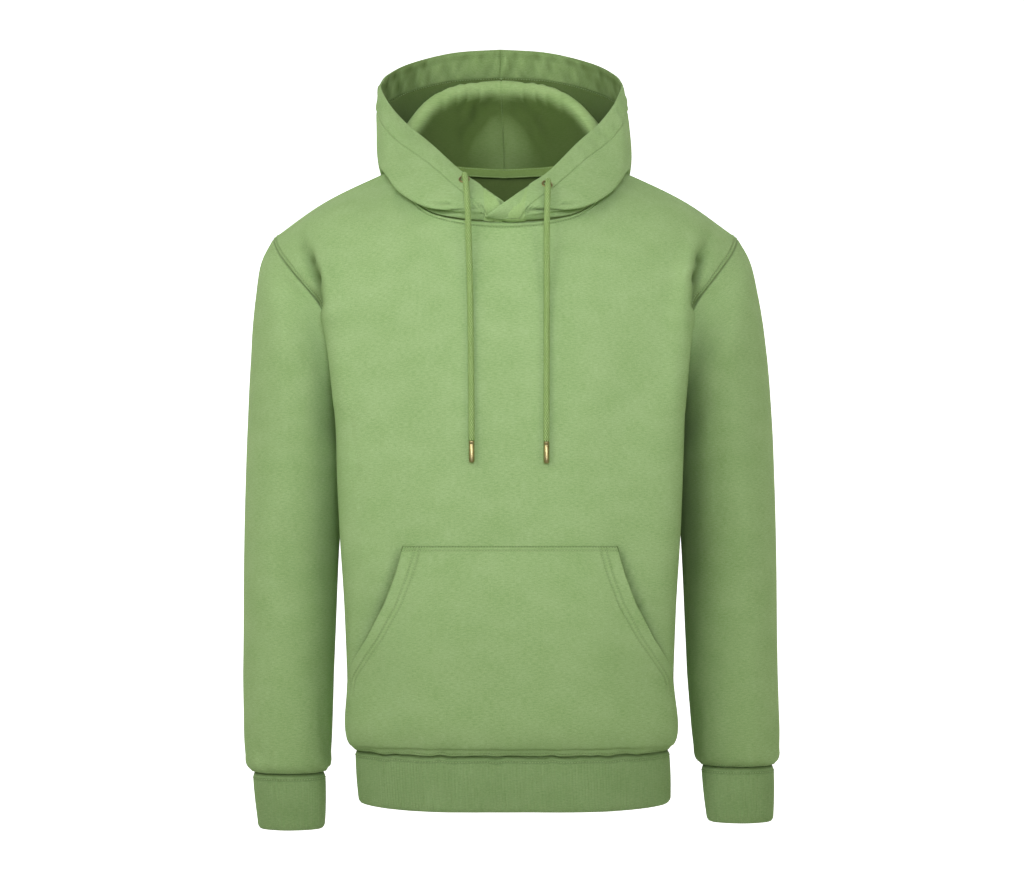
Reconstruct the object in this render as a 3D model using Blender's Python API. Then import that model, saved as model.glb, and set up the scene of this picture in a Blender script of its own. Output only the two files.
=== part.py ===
"""Pullover hoodie, filled out and hollow, as it hangs on a general figure.

Metres, +Z up.  The front of the garment faces -Y, and the wearer's left is +X.
The origin lies between the shoulders, at the height where they carry the garment.
Tables are in millimetres.  They describe the wearer's left half; the right half mirrors it.
"""
import math

import bmesh
import bpy
import numpy as np

MM = 0.001

# cloth and seams
FLEECE = 0.0022
HOOD_CLOTH = 0.0022
RIB_CLOTH = 0.0026
TAPE_CLOTH = 0.0010
SEAM_GAP = 0.0004
CREASED, FLUSH = 0.3, 0.8   # how alike two sewn cloths face, from a crease to a flush seam

# ribs of the cuffs and the hem band
RIB_PITCH = 0.0034
RIB_HEIGHT = 0.0006
FEW_RIBS, INSIDE_PER_RIB = 100, 4

# lengths
HEM_HEIGHT = 0.060
CUFF_HEIGHT = 0.062
LONGER_SLEEVE = 0.008

# trims
CORD_DIAMETER = 0.0066
CORD_POINTS = 26
CLOSER_AT_EYELET = 1.6
TIP_DIAMETER = 0.0062
TIP_LENGTH = 0.024
EYELET_OUTER = 0.0125
EYELET_HOLE = 0.0078
EYELET_HEIGHT = 0.0016

# mesh density
ARMHOLE_ROWS = 11
SLEEVE_RINGS = 17
HOOD_SECTIONS = 23
HOOD_STEPS = 24

# the whole garment hangs slightly towards the wearer's right, more so towards the hood
LEAN = np.array([
    # z, shift in x
    (-720, 6.5), (-640, 2.5), (-560, 0.5), (-280, 0.0), (-200, -1.0), (-140, -3.0),
    (-100, -4.5), (-50, -5.5), (0, -5.0), (50, -7.5), (100, -10.0), (170, -11.0),
])

# neckline: from centre front round the side to centre back
NECK_SHOULDER_ROW = 5
NECK = np.array([
    # x, y, z
    (0, -104, -57), (45, -99, -54), (82, -83, -44), (106, -54, -23), (116, -22, 2),
    (115, 3, 18),
    (101, 34, 23), (78, 57, 21), (52, 71, 18), (26, 78, 17), (0, 80, 16),
])

# armhole: closed loop seen from the sleeve, by angle from the shoulder point over the front
ARMHOLE = np.array([
    # angle, x, y, z
    (0, 262.5, 3, -67), (24, 255, -28, -84), (48, 237, -53, -108), (78, 207, -67, -146),
    (125, 181, -44, -212), (180, 172, 5, -262), (235, 181, 52, -212),
    (282, 207, 75, -148), (312, 237, 62, -110), (336, 255, 36, -84), (360, 262.5, 3, -67),
])

# across a panel: 0 at its centre, 1 at the side seam or the armhole
CENTRE, MID, FOLD, SIDE = 0.0, 0.42, 0.76, 1.0
ACROSS = np.array([CENTRE, MID, FOLD, SIDE])
PANEL_COLUMNS = np.array([CENTRE, 0.07, 0.14, 0.21, 0.28, 0.35, MID, 0.535, 0.65, FOLD, 0.88, SIDE])

FRONT_SECTIONS = np.array([
    # centre x, y, z      mid x, y, z           fold x, y, z          side x, y, z
    (0, -102, -641,       105, -95, -641,       171, -50, -641,       175, 2, -641),
    (0, -109, -630,       106, -101, -630,      178, -58, -631,       177, 3, -631),
    (0, -110, -560,       106, -103, -560,      179, -62, -560,       177, 4, -560),
    (0, -111, -480,       107, -105, -480,      182, -66, -480,       178, 5, -480),
    (0, -113, -400,       109, -107, -400,      187, -70, -400,       180, 6, -400),
    (0, -116, -330,       110, -110, -330,      190.5, -74, -330,     178, 6, -330),
    (0, -118, -262,       111, -112, -262,      193, -78, -262,       172, 5, -262),
    (0, -118, -205,       113, -112, -198,      199, -82, -190,       181, -44, -212),
    (0, -115, -152,       118, -107, -138,      205, -82, -143,       207, -67, -146),
    (0, -110, -108,       124, -95, -86,        213, -70, -96,        237, -53, -108),
    (0, -106.5, -80,      129, -66, -40,        208, -42, -46,        255, -28, -84),
    (0, -104, -57,        115, 3, 18,           207, 3, -27,          262.5, 3, -67),
])

BACK_SECTIONS = np.array([
    (0, 88, -641,         105, 83, -641,        169, 48, -641,        175, 2, -641),
    (0, 95, -630,         106, 90, -630,        175, 57, -631,        177, 3, -631),
    (0, 97, -560,         106, 92, -560,        177, 62, -560,        177, 4, -560),
    (0, 98, -480,         107, 94, -480,        180, 66, -480,        178, 5, -480),
    (0, 100, -400,        109, 97, -400,        184, 70, -400,        180, 6, -400),
    (0, 106, -330,        110, 103, -330,       188, 76, -330,        178, 6, -330),
    (0, 113, -262,        111, 110, -262,       191, 84, -262,        172, 5, -262),
    (0, 117, -205,        113, 115, -200,       198, 92, -196,        181, 52, -212),
    (0, 116, -152,        118, 113, -142,       207, 90, -144,        207, 75, -148),
    (0, 108, -90,         122, 100, -80,        215, 78, -98,         237, 62, -110),
    (0, 97, -36,          124, 66, -22,         208, 50, -44,         255, 36, -84),
    (0, 80, 16,           115, 3, 18,           207, 3, -27,          262.5, 3, -67),
])
# where the panels' rows of points lie below the underarm; the pocket follows them
LOWER_ROWS = np.array([0, 0.02, 0.05, 0.09, 0.13, 0.17, 0.21, 0.25, 0.29, 0.325, 0.39, 0.46])
POCKET_FIRST_ROW, POCKET_LAST_ROW = 1, 9
# how far each section lies along the panel, rib seam to top edge
SECTION_AT = np.array([0.0, 0.02, 0.12, 0.23, 0.34, 0.44, 0.54, 0.63, 0.72, 0.82, 0.91, 1.0])
# from the underarm up, a section's side lies on the armhole at these angles
ARMHOLE_SECTION = 6
FRONT_ANGLES = np.array([180, 125, 78, 48, 24, 0])
BACK_ANGLES = np.array([180, 235, 282, 312, 336, 360])

# sleeve: ellipses square to the arm; the first ring is the armhole itself
SLEEVE_SECTIONS = np.array([
    # centre x, y, z     half width, half depth, tilt in degrees
    (229, 4, -178,       97, 73, 61),
    (234.5, 5, -204,     88, 77, 56),
    (240, 7, -242,       70, 76, 42),
    (241, 9, -290,       60, 74, 22),
    (244.5, 9, -350,     55.5, 69, 8),
    (248, 9, -426,       53.5, 63, 2),
    (250, 7, -510,       52.0, 56, 0),
    (252, 2, -590,       50.5, 48, 0),
    (253, -4, -638,      48.5, 41, 0),
    (253, -6, -654,      46.5, 37, 0),
    (253, -7, -661,      40.5, 29, 0),
])
CUFF_END_HALF = (36.8, 25.5)

# hood: sections from the overlapping front tips round the neck to the centre-back seam.
# Each climbs from the neck seam to the inner ridge, drops to the lower fold and rises to the rim.
# Rest lifts the inside of the fold where it lies on the shoulder's slope.
HOOD_TABLE = np.array([
    # ridge x, y, z       fold x, y, z          rim x, y, z      ridge turn, fold turn, bulge, rest
    (-19, -106.5, -53.5,  -20, -109, -50,       -21, -110, -46,       0.0, 0.0, 0.0, 0.0),
    (0, -107.5, -52,      0, -111, -46,         0, -112, -36,         0.0, 0.0, 1.0, 0.0),
    (23, -107, -49.5,     23, -112, -42,        26, -94, -16,         0.0, 0.5, 3.0, 0.0),
    (46, -103, -48,       47, -112, -44,        48, -70, 2,           1.0, 3.0, 6.0, 0.0),
    (82, -80, -36,        88, -97, -40,         82, -26, 38,          3.5, 5.5, 8.0, 2.0),
    (101, -50, -8,        119, -66, -23,        108, 8, 63,           4.5, 7.0, 8.0, 5.0),
    (107, -16, 22,        136, -32, -2,         127, 30, 87,          5.0, 8.0, 7.0, 8.0),
    (109, 16, 46,         143, 8, 8,            139, 60, 110,         5.5, 8.5, 5.0, 9.0),
    (103, 45, 69,         143, 46, 0,           140, 78, 119,         6.0, 8.0, 5.0, 8.0),
    (83, 73, 98,          132, 86, -20,         132, 92, 131,         6.0, 9.0, 7.0, 3.0),
    (56, 90, 115,         104, 114, -46,        106, 113, 147,        6.0, 10.0, 12.0, 0.0),
    (29, 97, 121,         60, 129, -69,         56, 132, 162,         6.0, 12.0, 18.0, 0.0),
    (0, 99, 123,          0, 134, -78,          0, 139, 167,          6.0, 13.0, 21.0, 0.0),
])
# the neck seam under each hood section, as places along NECK
HOOD_NECK_AT = np.array([-0.42, 0.0, 0.52, 1.05, 2.1, 3.1, 4.0, 5.0, 5.9, 6.9, 7.8, 8.9, 10.0])
HOOD_RISE = 1.2          # the neck seam's allowance lifts the hood off the body's edge
FLAP_STEP = 6.0          # the wearer's left flap crosses over the right one
FLAP_DROP = 3.6
FLAP_THINS_AT = (0.0, 1.0, 2.0, 3.0)      # the flaps are pressed thin where they cross
FLAP_THICKNESS = (1.4, 1.6, 1.9, HOOD_CLOTH / MM)
FLAP_FADE_END, FLAP_FADE = 62, 36
NEAREST = 0.8
PLAIN_FLAP_END = 3.4       # up to this row of the table the flap is one plain curved sheet
FINER = 3
FOLDED_SHARE = 0.6       # in a tight fold the cloth is pressed to this share of the room there

# pocket outline, by height: half width along the cloth, at the sewn sides and hand openings
POCKET_OUTLINE = np.array([
    # z, half width
    (-634, 200.0), (-600, 200.0), (-557, 191.0), (-540, 178.0), (-512, 157.5),
    (-474, 137.0), (-442, 125.5), (-412, 118.0),
])
OPENING_LOW, OPENING_HIGH = -557, -412
POCKET_GAP = 0.0005
POCKET_SLACK = 12.5      # how far the pouch stands off the panel
POCKET_GAPE = 6.5        # how far a hand opening's edge stands off

# neck tape, from just behind each shoulder seam
TAPE_FROM = 5.6
TAPE_HEIGHT = 10.0
TAPE_ABOVE = 2.5
TAPE_CLEAR = 3.2

# drawcords, from the eyelet to the tip; they hang plumb, so the lean is not added
CORD_LEFT = np.array([
    (40.8, -94.3, -14.8), (42.0, -97.8, -11.2), (41.9, -102.2, -11.0), (41.6, -106.8, -15.0),
    (41.2, -111.0, -21.5), (40.9, -114.8, -29.5), (40.6, -117.7, -37.5), (40.4, -118.4, -47),
    (40.3, -118.3, -75), (40.2, -118.5, -110), (40.1, -119.6, -150), (40.0, -121.5, -185),
    (39.9, -122.6, -220), (39.8, -122.7, -258), (39.7, -122.0, -296),
])
CORD_RIGHT = np.array([
    (-50.2, -84.4, -8.4), (-50.4, -87.8, -4.5), (-49.9, -92.2, -3.6), (-49.0, -97.4, -6.8),
    (-48.1, -102.6, -13.0), (-47.3, -107.6, -21.5), (-46.6, -112.0, -30.5), (-46.1, -115.5, -39),
    (-45.6, -116.2, -49), (-44.8, -116.4, -77), (-43.6, -117.1, -115), (-42.8, -119.6, -155),
    (-42.2, -122.2, -198), (-41.8, -122.7, -240), (-41.5, -122.0, -295),
])

GREEN = (0.33, 0.48, 0.24)
RIB_GREEN = (0.22, 0.34, 0.14)
CORD_GREEN = (0.18, 0.28, 0.09)
TAPE_GREEN = (0.14, 0.22, 0.08)
BRASS = (0.50, 0.34, 0.14)


# ---------------------------------------------------------------- curves


def tangents(knots, values):
    """Slopes of a smooth curve through values at uneven knots."""
    steps = np.diff(knots)[:, None]
    rises = np.diff(values, axis=0) / steps
    inner = (rises[:-1] * steps[1:] + rises[1:] * steps[:-1]) / (steps[:-1] + steps[1:])
    return np.vstack([rises[:1], inner, rises[-1:]])


def smooth(knots, values, at):
    """Read a smooth curve through values, whose rows belong to knots, at other places."""
    knots = np.asarray(knots, float)
    values = np.asarray(values, float).reshape(len(knots), -1)
    at = np.clip(np.atleast_1d(at), knots[0], knots[-1])
    slopes = tangents(knots, values)
    low = np.clip(np.searchsorted(knots, at, side="right") - 1, 0, len(knots) - 2)
    span = (knots[low + 1] - knots[low])[:, None]
    part = (at - knots[low])[:, None] / span
    square, cube = part ** 2, part ** 3
    return (
        (2 * cube - 3 * square + 1) * values[low]
        + (cube - 2 * square + part) * span * slopes[low]
        + (3 * square - 2 * cube) * values[low + 1]
        + (cube - square) * span * slopes[low + 1]
    )


def spline_through(control, count):
    """A clamped cubic B-spline of a control polygon: rounded turns and no overshoot."""
    control = np.vstack([control[:1], control[:1], control, control[-1:], control[-1:]])
    spans = len(control) - 3
    at = np.linspace(0, spans, count)
    first = np.minimum(at.astype(int), spans - 1)
    part = (at - first)[:, None]
    weights = (
        (1 - part) ** 3 / 6,
        (3 * part ** 3 - 6 * part ** 2 + 4) / 6,
        (-3 * part ** 3 + 3 * part ** 2 + 3 * part + 1) / 6,
        part ** 3 / 6,
    )
    return sum(weight * control[first + step] for step, weight in enumerate(weights))


def by_length(points, count):
    """Points spread evenly along a fine polyline."""
    run = np.concatenate([[0], np.cumsum(np.linalg.norm(np.diff(points, axis=0), axis=1))])
    at = np.linspace(0, run[-1], count)
    return np.column_stack([np.interp(at, run, points[:, axis]) for axis in range(3)])


def lean(points):
    """Shift points sideways by the garment's lean at their height."""
    moved = np.array(points, float)
    moved[..., 0] += np.interp(moved[..., 2], LEAN[:, 0], LEAN[:, 1])
    return moved


def unit(vectors):
    return vectors / np.linalg.norm(vectors, axis=-1, keepdims=True)


def eased(value):
    return value * value * (3 - 2 * value)


# ---------------------------------------------------------------- walls


def grid_normals(points, closed):
    """Unit normals of a grid of points, rows by columns."""
    down = np.gradient(points, axis=0)
    if closed:
        along = np.roll(points, -1, axis=1) - np.roll(points, 1, axis=1)
    else:
        along = np.gradient(points, axis=1)
    normals = np.cross(along, down)
    return normals / np.maximum(np.linalg.norm(normals, axis=2, keepdims=True), 1e-12)


def room_behind(points, behind, surface):
    """For each point of a grid, the radius of the largest ball that the surface leaves behind it."""
    apart = surface.reshape(-1, 3) - points.reshape(-1, 1, 3)
    depth = (apart * behind.reshape(-1, 1, 3)).sum(axis=2)
    square = (apart ** 2).sum(axis=2)
    facing = (depth > 1e-6) & (square > NEAREST ** 2)
    radius = np.where(facing, square / (2 * np.maximum(depth, 1e-6)), np.inf)
    return radius.min(axis=1).reshape(points.shape[:2])


def add_material(piece, name, colour, roughness, metallic=0.0):
    material = bpy.data.materials.get(name) or bpy.data.materials.new(name)
    material.use_nodes = True
    shader = material.node_tree.nodes["Principled BSDF"]
    shader.inputs["Base Color"].default_value = (*colour, 1.0)
    shader.inputs["Roughness"].default_value = roughness
    shader.inputs["Metallic"].default_value = metallic
    piece.data.materials.append(material)


def finish_piece(name, body, look):
    """Turn a bmesh into a named object with its material, faces pointing out.

    The faces become triangles, so two seams side by side can't bend across each other.
    """
    bmesh.ops.triangulate(body, faces=body.faces)
    bmesh.ops.recalc_face_normals(body, faces=body.faces)
    mesh = bpy.data.meshes.new(name)
    body.to_mesh(mesh)
    body.free()
    mesh.shade_smooth()
    mesh.set_sharp_from_angle(angle=math.radians(50))
    piece = bpy.data.objects.new(name, mesh)
    bpy.context.collection.objects.link(piece)
    add_material(piece, *look)
    return piece


def wall(name, outer, inner, closed, look):
    """A closed cloth wall between two grids of points in millimetres."""
    body = bmesh.new()
    skins = [[[body.verts.new(p * MM) for p in row] for row in grid] for grid in (outer, inner)]
    rows, columns = outer.shape[:2]
    spans = columns if closed else columns - 1
    for skin in skins:
        for row in range(rows - 1):
            for column in range(spans):
                right = (column + 1) % columns
                body.faces.new((skin[row][column], skin[row][right],
                                skin[row + 1][right], skin[row + 1][column]))
    out, back = skins
    for row in (0, rows - 1):
        for column in range(spans):
            right = (column + 1) % columns
            body.faces.new((out[row][column], out[row][right], back[row][right], back[row][column]))
    if not closed:
        for column in (0, columns - 1):
            for row in range(rows - 1):
                body.faces.new((out[row][column], out[row + 1][column],
                                back[row + 1][column], back[row][column]))
    return finish_piece(name, body, look)


def bridge(body, ring_a, ring_b):
    """Triangles between two closed rings with different numbers of points."""
    a, b = 0, 0
    while a < len(ring_a) or b < len(ring_b):
        here_a, here_b = ring_a[a % len(ring_a)], ring_b[b % len(ring_b)]
        if (a + 0.5) / len(ring_a) <= (b + 0.5) / len(ring_b):
            body.faces.new((here_a, ring_a[(a + 1) % len(ring_a)], here_b))
            a += 1
        else:
            body.faces.new((here_a, ring_b[(b + 1) % len(ring_b)], here_b))
            b += 1


def rib_band(name, rings, thickness, look):
    """A tube with ribs raised on its outside and a plain inside; rings are plain fine loops."""
    length = np.linalg.norm(np.diff(rings[0], axis=0), axis=1).sum()
    ribs = round(length * MM / RIB_PITCH)
    plain = ribs // INSIDE_PER_RIB if ribs > FEW_RIBS else ribs // 2
    body = bmesh.new()
    outer, inner = [], []
    for ring in rings:
        out_dir = ring_outward(ring)
        fine = np.linspace(0, 1, 2 * ribs, endpoint=False)
        coarse = np.linspace(0, 1, plain, endpoint=False)
        height = np.where(np.arange(2 * ribs) % 2, RIB_HEIGHT, 0.0)[:, None] / MM
        raised = ring_at(ring, fine) + ring_at(out_dir, fine) * height
        inside = ring_at(ring, coarse) - ring_at(out_dir, coarse) * thickness
        outer.append([body.verts.new(p * MM) for p in raised])
        inner.append([body.verts.new(p * MM) for p in inside])
    for skin in (outer, inner):
        for upper, lower in zip(skin[:-1], skin[1:]):
            for side in range(len(upper)):
                right = (side + 1) % len(upper)
                body.faces.new((upper[side], upper[right], lower[right], lower[side]))
    bridge(body, outer[0], inner[0])
    bridge(body, outer[-1], inner[-1])
    return finish_piece(name, body, look)


def ring_outward(ring):
    """Level unit vectors that point out of a closed ring."""
    along = np.roll(ring, -1, axis=0) - np.roll(ring, 1, axis=0)
    along[0] = along[-1] = ring[1] - ring[-2]
    out = np.column_stack([along[:, 1], -along[:, 0], np.zeros(len(ring))])
    out /= np.linalg.norm(out, axis=1, keepdims=True)
    centre = ring[:-1].mean(axis=0)
    if ((ring - centre) * out).sum() < 0:
        out = -out
    return out


def ring_at(values, at):
    """Read values given around a closed ring, whose last row repeats its first."""
    places = np.linspace(0, 1, len(values))
    return np.column_stack([np.interp(at, places, values[:, axis]) for axis in range(3)])


# ---------------------------------------------------------------- body


def neck_at(places):
    return smooth(np.arange(len(NECK)), NECK, places)


def neck_edge_at(places):
    """The neckline as the panels have it, straight from column to column."""
    half = PANEL_COLUMNS[PANEL_COLUMNS <= MID] / MID * NECK_SHOULDER_ROW
    knots = np.concatenate([half, len(NECK) - 1 - half[-2::-1]])
    corners = neck_at(knots)
    return np.column_stack([np.interp(places, knots, corners[:, axis]) for axis in range(3)])


def armhole_at(angles):
    """The armhole seam at angles in degrees, smooth all the way round."""
    turns = np.concatenate([ARMHOLE[-3:-1, 0] - 360, ARMHOLE[:, 0], ARMHOLE[1:3, 0] + 360])
    points = np.vstack([ARMHOLE[-3:-1, 1:], ARMHOLE[:, 1:], ARMHOLE[1:3, 1:]])
    return smooth(turns, points, angles)


def top_edge(across, front):
    """A panel's top edge: the neckline, then the shoulder seam out to the armhole."""
    neck_row, end_row = NECK_SHOULDER_ROW, len(NECK) - 1
    part = np.abs(across)
    on_neck = np.minimum(part / MID, 1.0)
    places = on_neck * neck_row if front else end_row - on_neck * (end_row - neck_row)
    edge = neck_at(places)
    seam = smooth(ACROSS[1:], FRONT_SECTIONS[-1].reshape(4, 3)[1:], part)
    edge = np.where(part[:, None] > MID, seam, edge)
    edge[:, 0] *= np.sign(across)
    return edge


def across_section(points, across):
    """A level curve through a section's four points and their mirror images."""
    spread = np.concatenate([-ACROSS[:0:-1], ACROSS])
    mirrored = points[:0:-1] * (-1, 1, 1)
    return smooth(spread, np.vstack([mirrored, points]), across)


def panel(sections, front, across, along):
    """Outer points of a body panel, for places across (-1 to 1) and along (0 to 1)."""
    guides = smooth(SECTION_AT, sections, along).reshape(len(along), 4, 3)
    underarm = SECTION_AT[ARMHOLE_SECTION]
    angles = FRONT_ANGLES if front else BACK_ANGLES
    upper = along > underarm
    side = sections[:ARMHOLE_SECTION + 1, 9:]
    guides[~upper, 3] = smooth(SECTION_AT[:ARMHOLE_SECTION + 1], side, along[~upper])
    guides[upper, 3] = armhole_at(np.interp(along[upper], SECTION_AT[ARMHOLE_SECTION:], angles))
    grid = np.array([across_section(points, across) for points in guides])
    top = across_section(sections[-1].reshape(4, 3), across)
    share = eased(np.clip((along - SECTION_AT[-3]) / (1 - SECTION_AT[-3]), 0, 1))
    return grid + share[:, None, None] * (top_edge(across, front) - top)


def panel_places():
    """The places of a panel's columns and rows; the sleeve starts from the same rows."""
    across = np.concatenate([-PANEL_COLUMNS[:0:-1], PANEL_COLUMNS])
    upper = np.linspace(SECTION_AT[ARMHOLE_SECTION], 1, ARMHOLE_ROWS)
    return across, np.concatenate([LOWER_ROWS, upper])


def seams_and_panels():
    """The body panels with the directions their cloth faces, and the sleeve's at the armhole.

    Where panel and sleeve run on smoothly, their edges face alike, so the seam stays even.
    """
    across, along = panel_places()
    front = panel(FRONT_SECTIONS, True, across, along)
    back = panel(BACK_SECTIONS, False, across, along)
    front_out, back_out = grid_normals(front, False), -grid_normals(back, False)
    shared = unit(front_out + back_out)
    below_arm = along <= SECTION_AT[ARMHOLE_SECTION]
    on_shoulder = np.abs(across) >= MID
    for out in (front_out, back_out):
        out[below_arm, 0], out[below_arm, -1] = shared[below_arm, 0], shared[below_arm, -1]
        out[-1, on_shoulder] = shared[-1, on_shoulder]
    first = len(LOWER_ROWS)
    body_out = np.concatenate([front_out[:first - 1:-1, -1], back_out[first + 1:-1, -1]])
    sleeve_out = grid_normals(sleeve_rings(), True)[0]
    flush = (body_out * sleeve_out).sum(axis=1, keepdims=True)
    flush = eased(np.clip((flush - CREASED) / (FLUSH - CREASED), 0, 1))
    joint = unit(body_out + sleeve_out)
    body_out = unit(body_out * (1 - flush) + joint * flush)
    sleeve_out = unit(sleeve_out * (1 - flush) + joint * flush)
    half = ARMHOLE_ROWS
    for out, facing in ((front_out, body_out[:half][::-1]),
                        (back_out, np.vstack([body_out[half - 1:], body_out[:1]]))):
        out[first:, -1] = facing
        out[first:, 0] = facing * (-1, 1, 1)
    return (front, front_out), (back, back_out), sleeve_out


def body_panels():
    look = ("green fleece", GREEN, 0.9)
    for name, (grid, out) in zip(("body_front", "body_back"), seams_and_panels()):
        grid = drawn_in(grid, out, SEAM_GAP / MM)
        wall(name, lean(grid), lean(grid - out * FLEECE / MM), False, look)


def into_cloth(edge, normals, inner):
    """Directions that lead from an edge into its cloth, square to the edge."""
    along = np.gradient(edge, axis=0)
    into = unit(np.cross(normals, along))
    return into * np.sign((into * (inner - edge)).sum(axis=1, keepdims=True))


def drawn_in(grid, out, distance):
    """Draw a panel's sides and top edge in along the cloth, to clear the pieces sewn there."""
    moved = grid.copy()
    for edge, inner in ((0, 1), (-1, -2)):
        moved[:, edge] += into_cloth(grid[:, edge], out[:, edge], grid[:, inner]) * distance
    moved[-1] += into_cloth(grid[-1], out[-1], grid[-2]) * distance
    return moved


# ---------------------------------------------------------------- sleeves and ribs


def armhole_turns():
    """The angles at which the two panels' rows reach the armhole."""
    rows = np.linspace(SECTION_AT[ARMHOLE_SECTION], 1, ARMHOLE_ROWS)
    front = np.interp(rows, SECTION_AT[ARMHOLE_SECTION:], FRONT_ANGLES)
    back = np.interp(rows, SECTION_AT[ARMHOLE_SECTION:], BACK_ANGLES)
    return np.concatenate([front[::-1], back[1:-1]])


def sleeve_rings(lengthen=0.0):
    """Outer points of the left sleeve, armhole to cuff seam."""
    turns = armhole_turns()
    rings = [armhole_at(turns)]
    for x, y, z, width, depth, tilt in SLEEVE_SECTIONS:
        lower = z - lengthen * np.clip((z + 200) / -461, 0, 1)
        lean_out = math.radians(tilt)
        outward = np.array([math.cos(lean_out), 0, math.sin(lean_out)])
        angle = np.radians(turns)[:, None]
        ring = (np.array([x, y, lower]) + np.cos(angle) * width * outward
                + np.sin(angle) * depth * np.array([0, -1, 0]))
        rings.append(ring)
    rings = np.array(rings)
    knots = np.concatenate([[0], np.cumsum(np.linalg.norm(
        np.diff(rings.mean(axis=1), axis=0), axis=1))])
    places = np.concatenate([np.linspace(0, 0.96, SLEEVE_RINGS - 4), (0.973, 0.982, 0.991, 1.0)])
    grid = smooth(knots, rings.reshape(len(rings), -1), places * knots[-1])
    return grid.reshape(len(places), len(turns), 3)


def sleeves_and_cuffs():
    sleeve_out = seams_and_panels()[2]
    for side, label in ((1, "left"), (-1, "right")):
        grid = sleeve_rings(0.0 if side > 0 else LONGER_SLEEVE / MM)
        out = grid_normals(grid, True)
        out[0] = sleeve_out
        along = np.roll(grid[0], -1, axis=0) - np.roll(grid[0], 1, axis=0)
        into = unit(np.cross(out[0], along))
        into *= np.sign((into * (grid[1] - grid[0])).sum(axis=1, keepdims=True))
        grid[0] += into * 1.5 * SEAM_GAP / MM
        inner = grid - out * FLEECE / MM
        grid, inner = grid * (side, 1, 1), inner * (side, 1, 1)
        wall(f"sleeve_{label}", lean(grid), lean(inner), True, ("green fleece", GREEN, 0.9))
        seam = grid[-1]
        top = np.vstack([seam, seam[:1]])
        top = by_length(top, 97)
        centre = seam.mean(axis=0)
        end_scale = np.array([CUFF_END_HALF[0] / 40.5, CUFF_END_HALF[1] / 29.0, 1.0])
        rings = []
        for drop, grow in ((0.0, 0.0), (1.0, 1.0)):
            ring = centre + (top - centre) * (1 + (end_scale - 1) * grow)
            ring[:, 2] = centre[2] - SEAM_GAP / MM - drop * CUFF_HEIGHT / MM
            rings.append(ring)
        rib_band(f"cuff_{label}", rings, RIB_CLOTH / MM, ("green rib", RIB_GREEN, 0.9))


def hem_band():
    across = np.linspace(-1, 1, 61)
    front = panel(FRONT_SECTIONS, True, across, np.array([0.0]))[0]
    back = panel(BACK_SECTIONS, False, across, np.array([0.0]))[0]
    loop = by_length(np.vstack([front, back[-2::-1]]), 241)
    rings = []
    for drop, draw_in in ((0.0, 0.0), (1.0, 1.2)):
        ring = loop - ring_outward(loop) * draw_in
        ring[:, 2] -= SEAM_GAP / MM + drop * HEM_HEIGHT / MM
        rings.append(ring)
    rib_band("hem_band", rings, RIB_CLOTH / MM, ("green rib", RIB_GREEN, 0.9))


# ---------------------------------------------------------------- pocket and tape


def on_facets(grid, across, places):
    """Points of the front panel's own faceted rows, at places across."""
    return np.array([[np.interp(places[row], across, grid[row, :, axis]) for axis in range(3)]
                     for row in range(len(grid))]).transpose(0, 2, 1)


def pocket():
    """The kangaroo pocket: the front panel's points moved out, slack between its seams."""
    across, along = panel_places()
    grid = panel(FRONT_SECTIONS, True, across, along)[POCKET_FIRST_ROW:POCKET_LAST_ROW + 1]
    heights = grid[:, len(across) // 2, 2]
    part = across[np.abs(across) <= FOLD] / FOLD
    places = []
    for row, height in zip(grid, heights):
        half = np.interp(height, POCKET_OUTLINE[:, 0], POCKET_OUTLINE[:, 1])
        line = row[len(across) // 2:]
        run = np.concatenate([[0], np.cumsum(np.linalg.norm(np.diff(line, axis=0), axis=1))])
        places.append(part * min(FOLD, np.interp(half, run, across[len(across) // 2:])))
    points = on_facets(grid, across, places)
    up = (heights - heights[0]) / (heights[-1] - heights[0])
    opened = np.clip((heights - OPENING_LOW) / (OPENING_HIGH - OPENING_LOW), 0, 1)
    gape = POCKET_GAPE * np.sin(math.pi * opened)[:, None]
    puff = POCKET_SLACK * (np.sin(math.pi * up) ** 0.7)[:, None]
    inside = 1 - np.abs(part) ** 4
    rise = (gape * (1 - inside) + puff * inside)[:, :, None]
    under = points + grid_normals(points, False) * (POCKET_GAP / MM + rise)
    face = under + grid_normals(under, False) * FLEECE / MM
    wall("pocket", lean(face), lean(under), False, ("green fleece", GREEN, 0.9))


def neck_tape():
    """A narrow band over the back neck seam, inside the hood and the back panel."""
    places = np.linspace(TAPE_FROM, 2 * (len(NECK) - 1) - TAPE_FROM, 23)
    end = len(NECK) - 1
    line = neck_at(end - np.abs(places - end))
    line[:, 0] *= np.where(places > end, -1, 1)
    inward = -line * (1, 1, 0) / np.linalg.norm(line[:, :2], axis=1, keepdims=True)
    rows = [(TAPE_ABOVE, TAPE_CLEAR + 0.6), (TAPE_ABOVE - TAPE_HEIGHT, TAPE_CLEAR)]
    near = np.array([line + inward * clear + (0, 0, rise) for rise, clear in rows])
    far = near + inward * TAPE_CLOTH / MM
    wall("neck_tape", lean(far), lean(near), False, ("neck tape", TAPE_GREEN, 0.9))


# ---------------------------------------------------------------- hood


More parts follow.
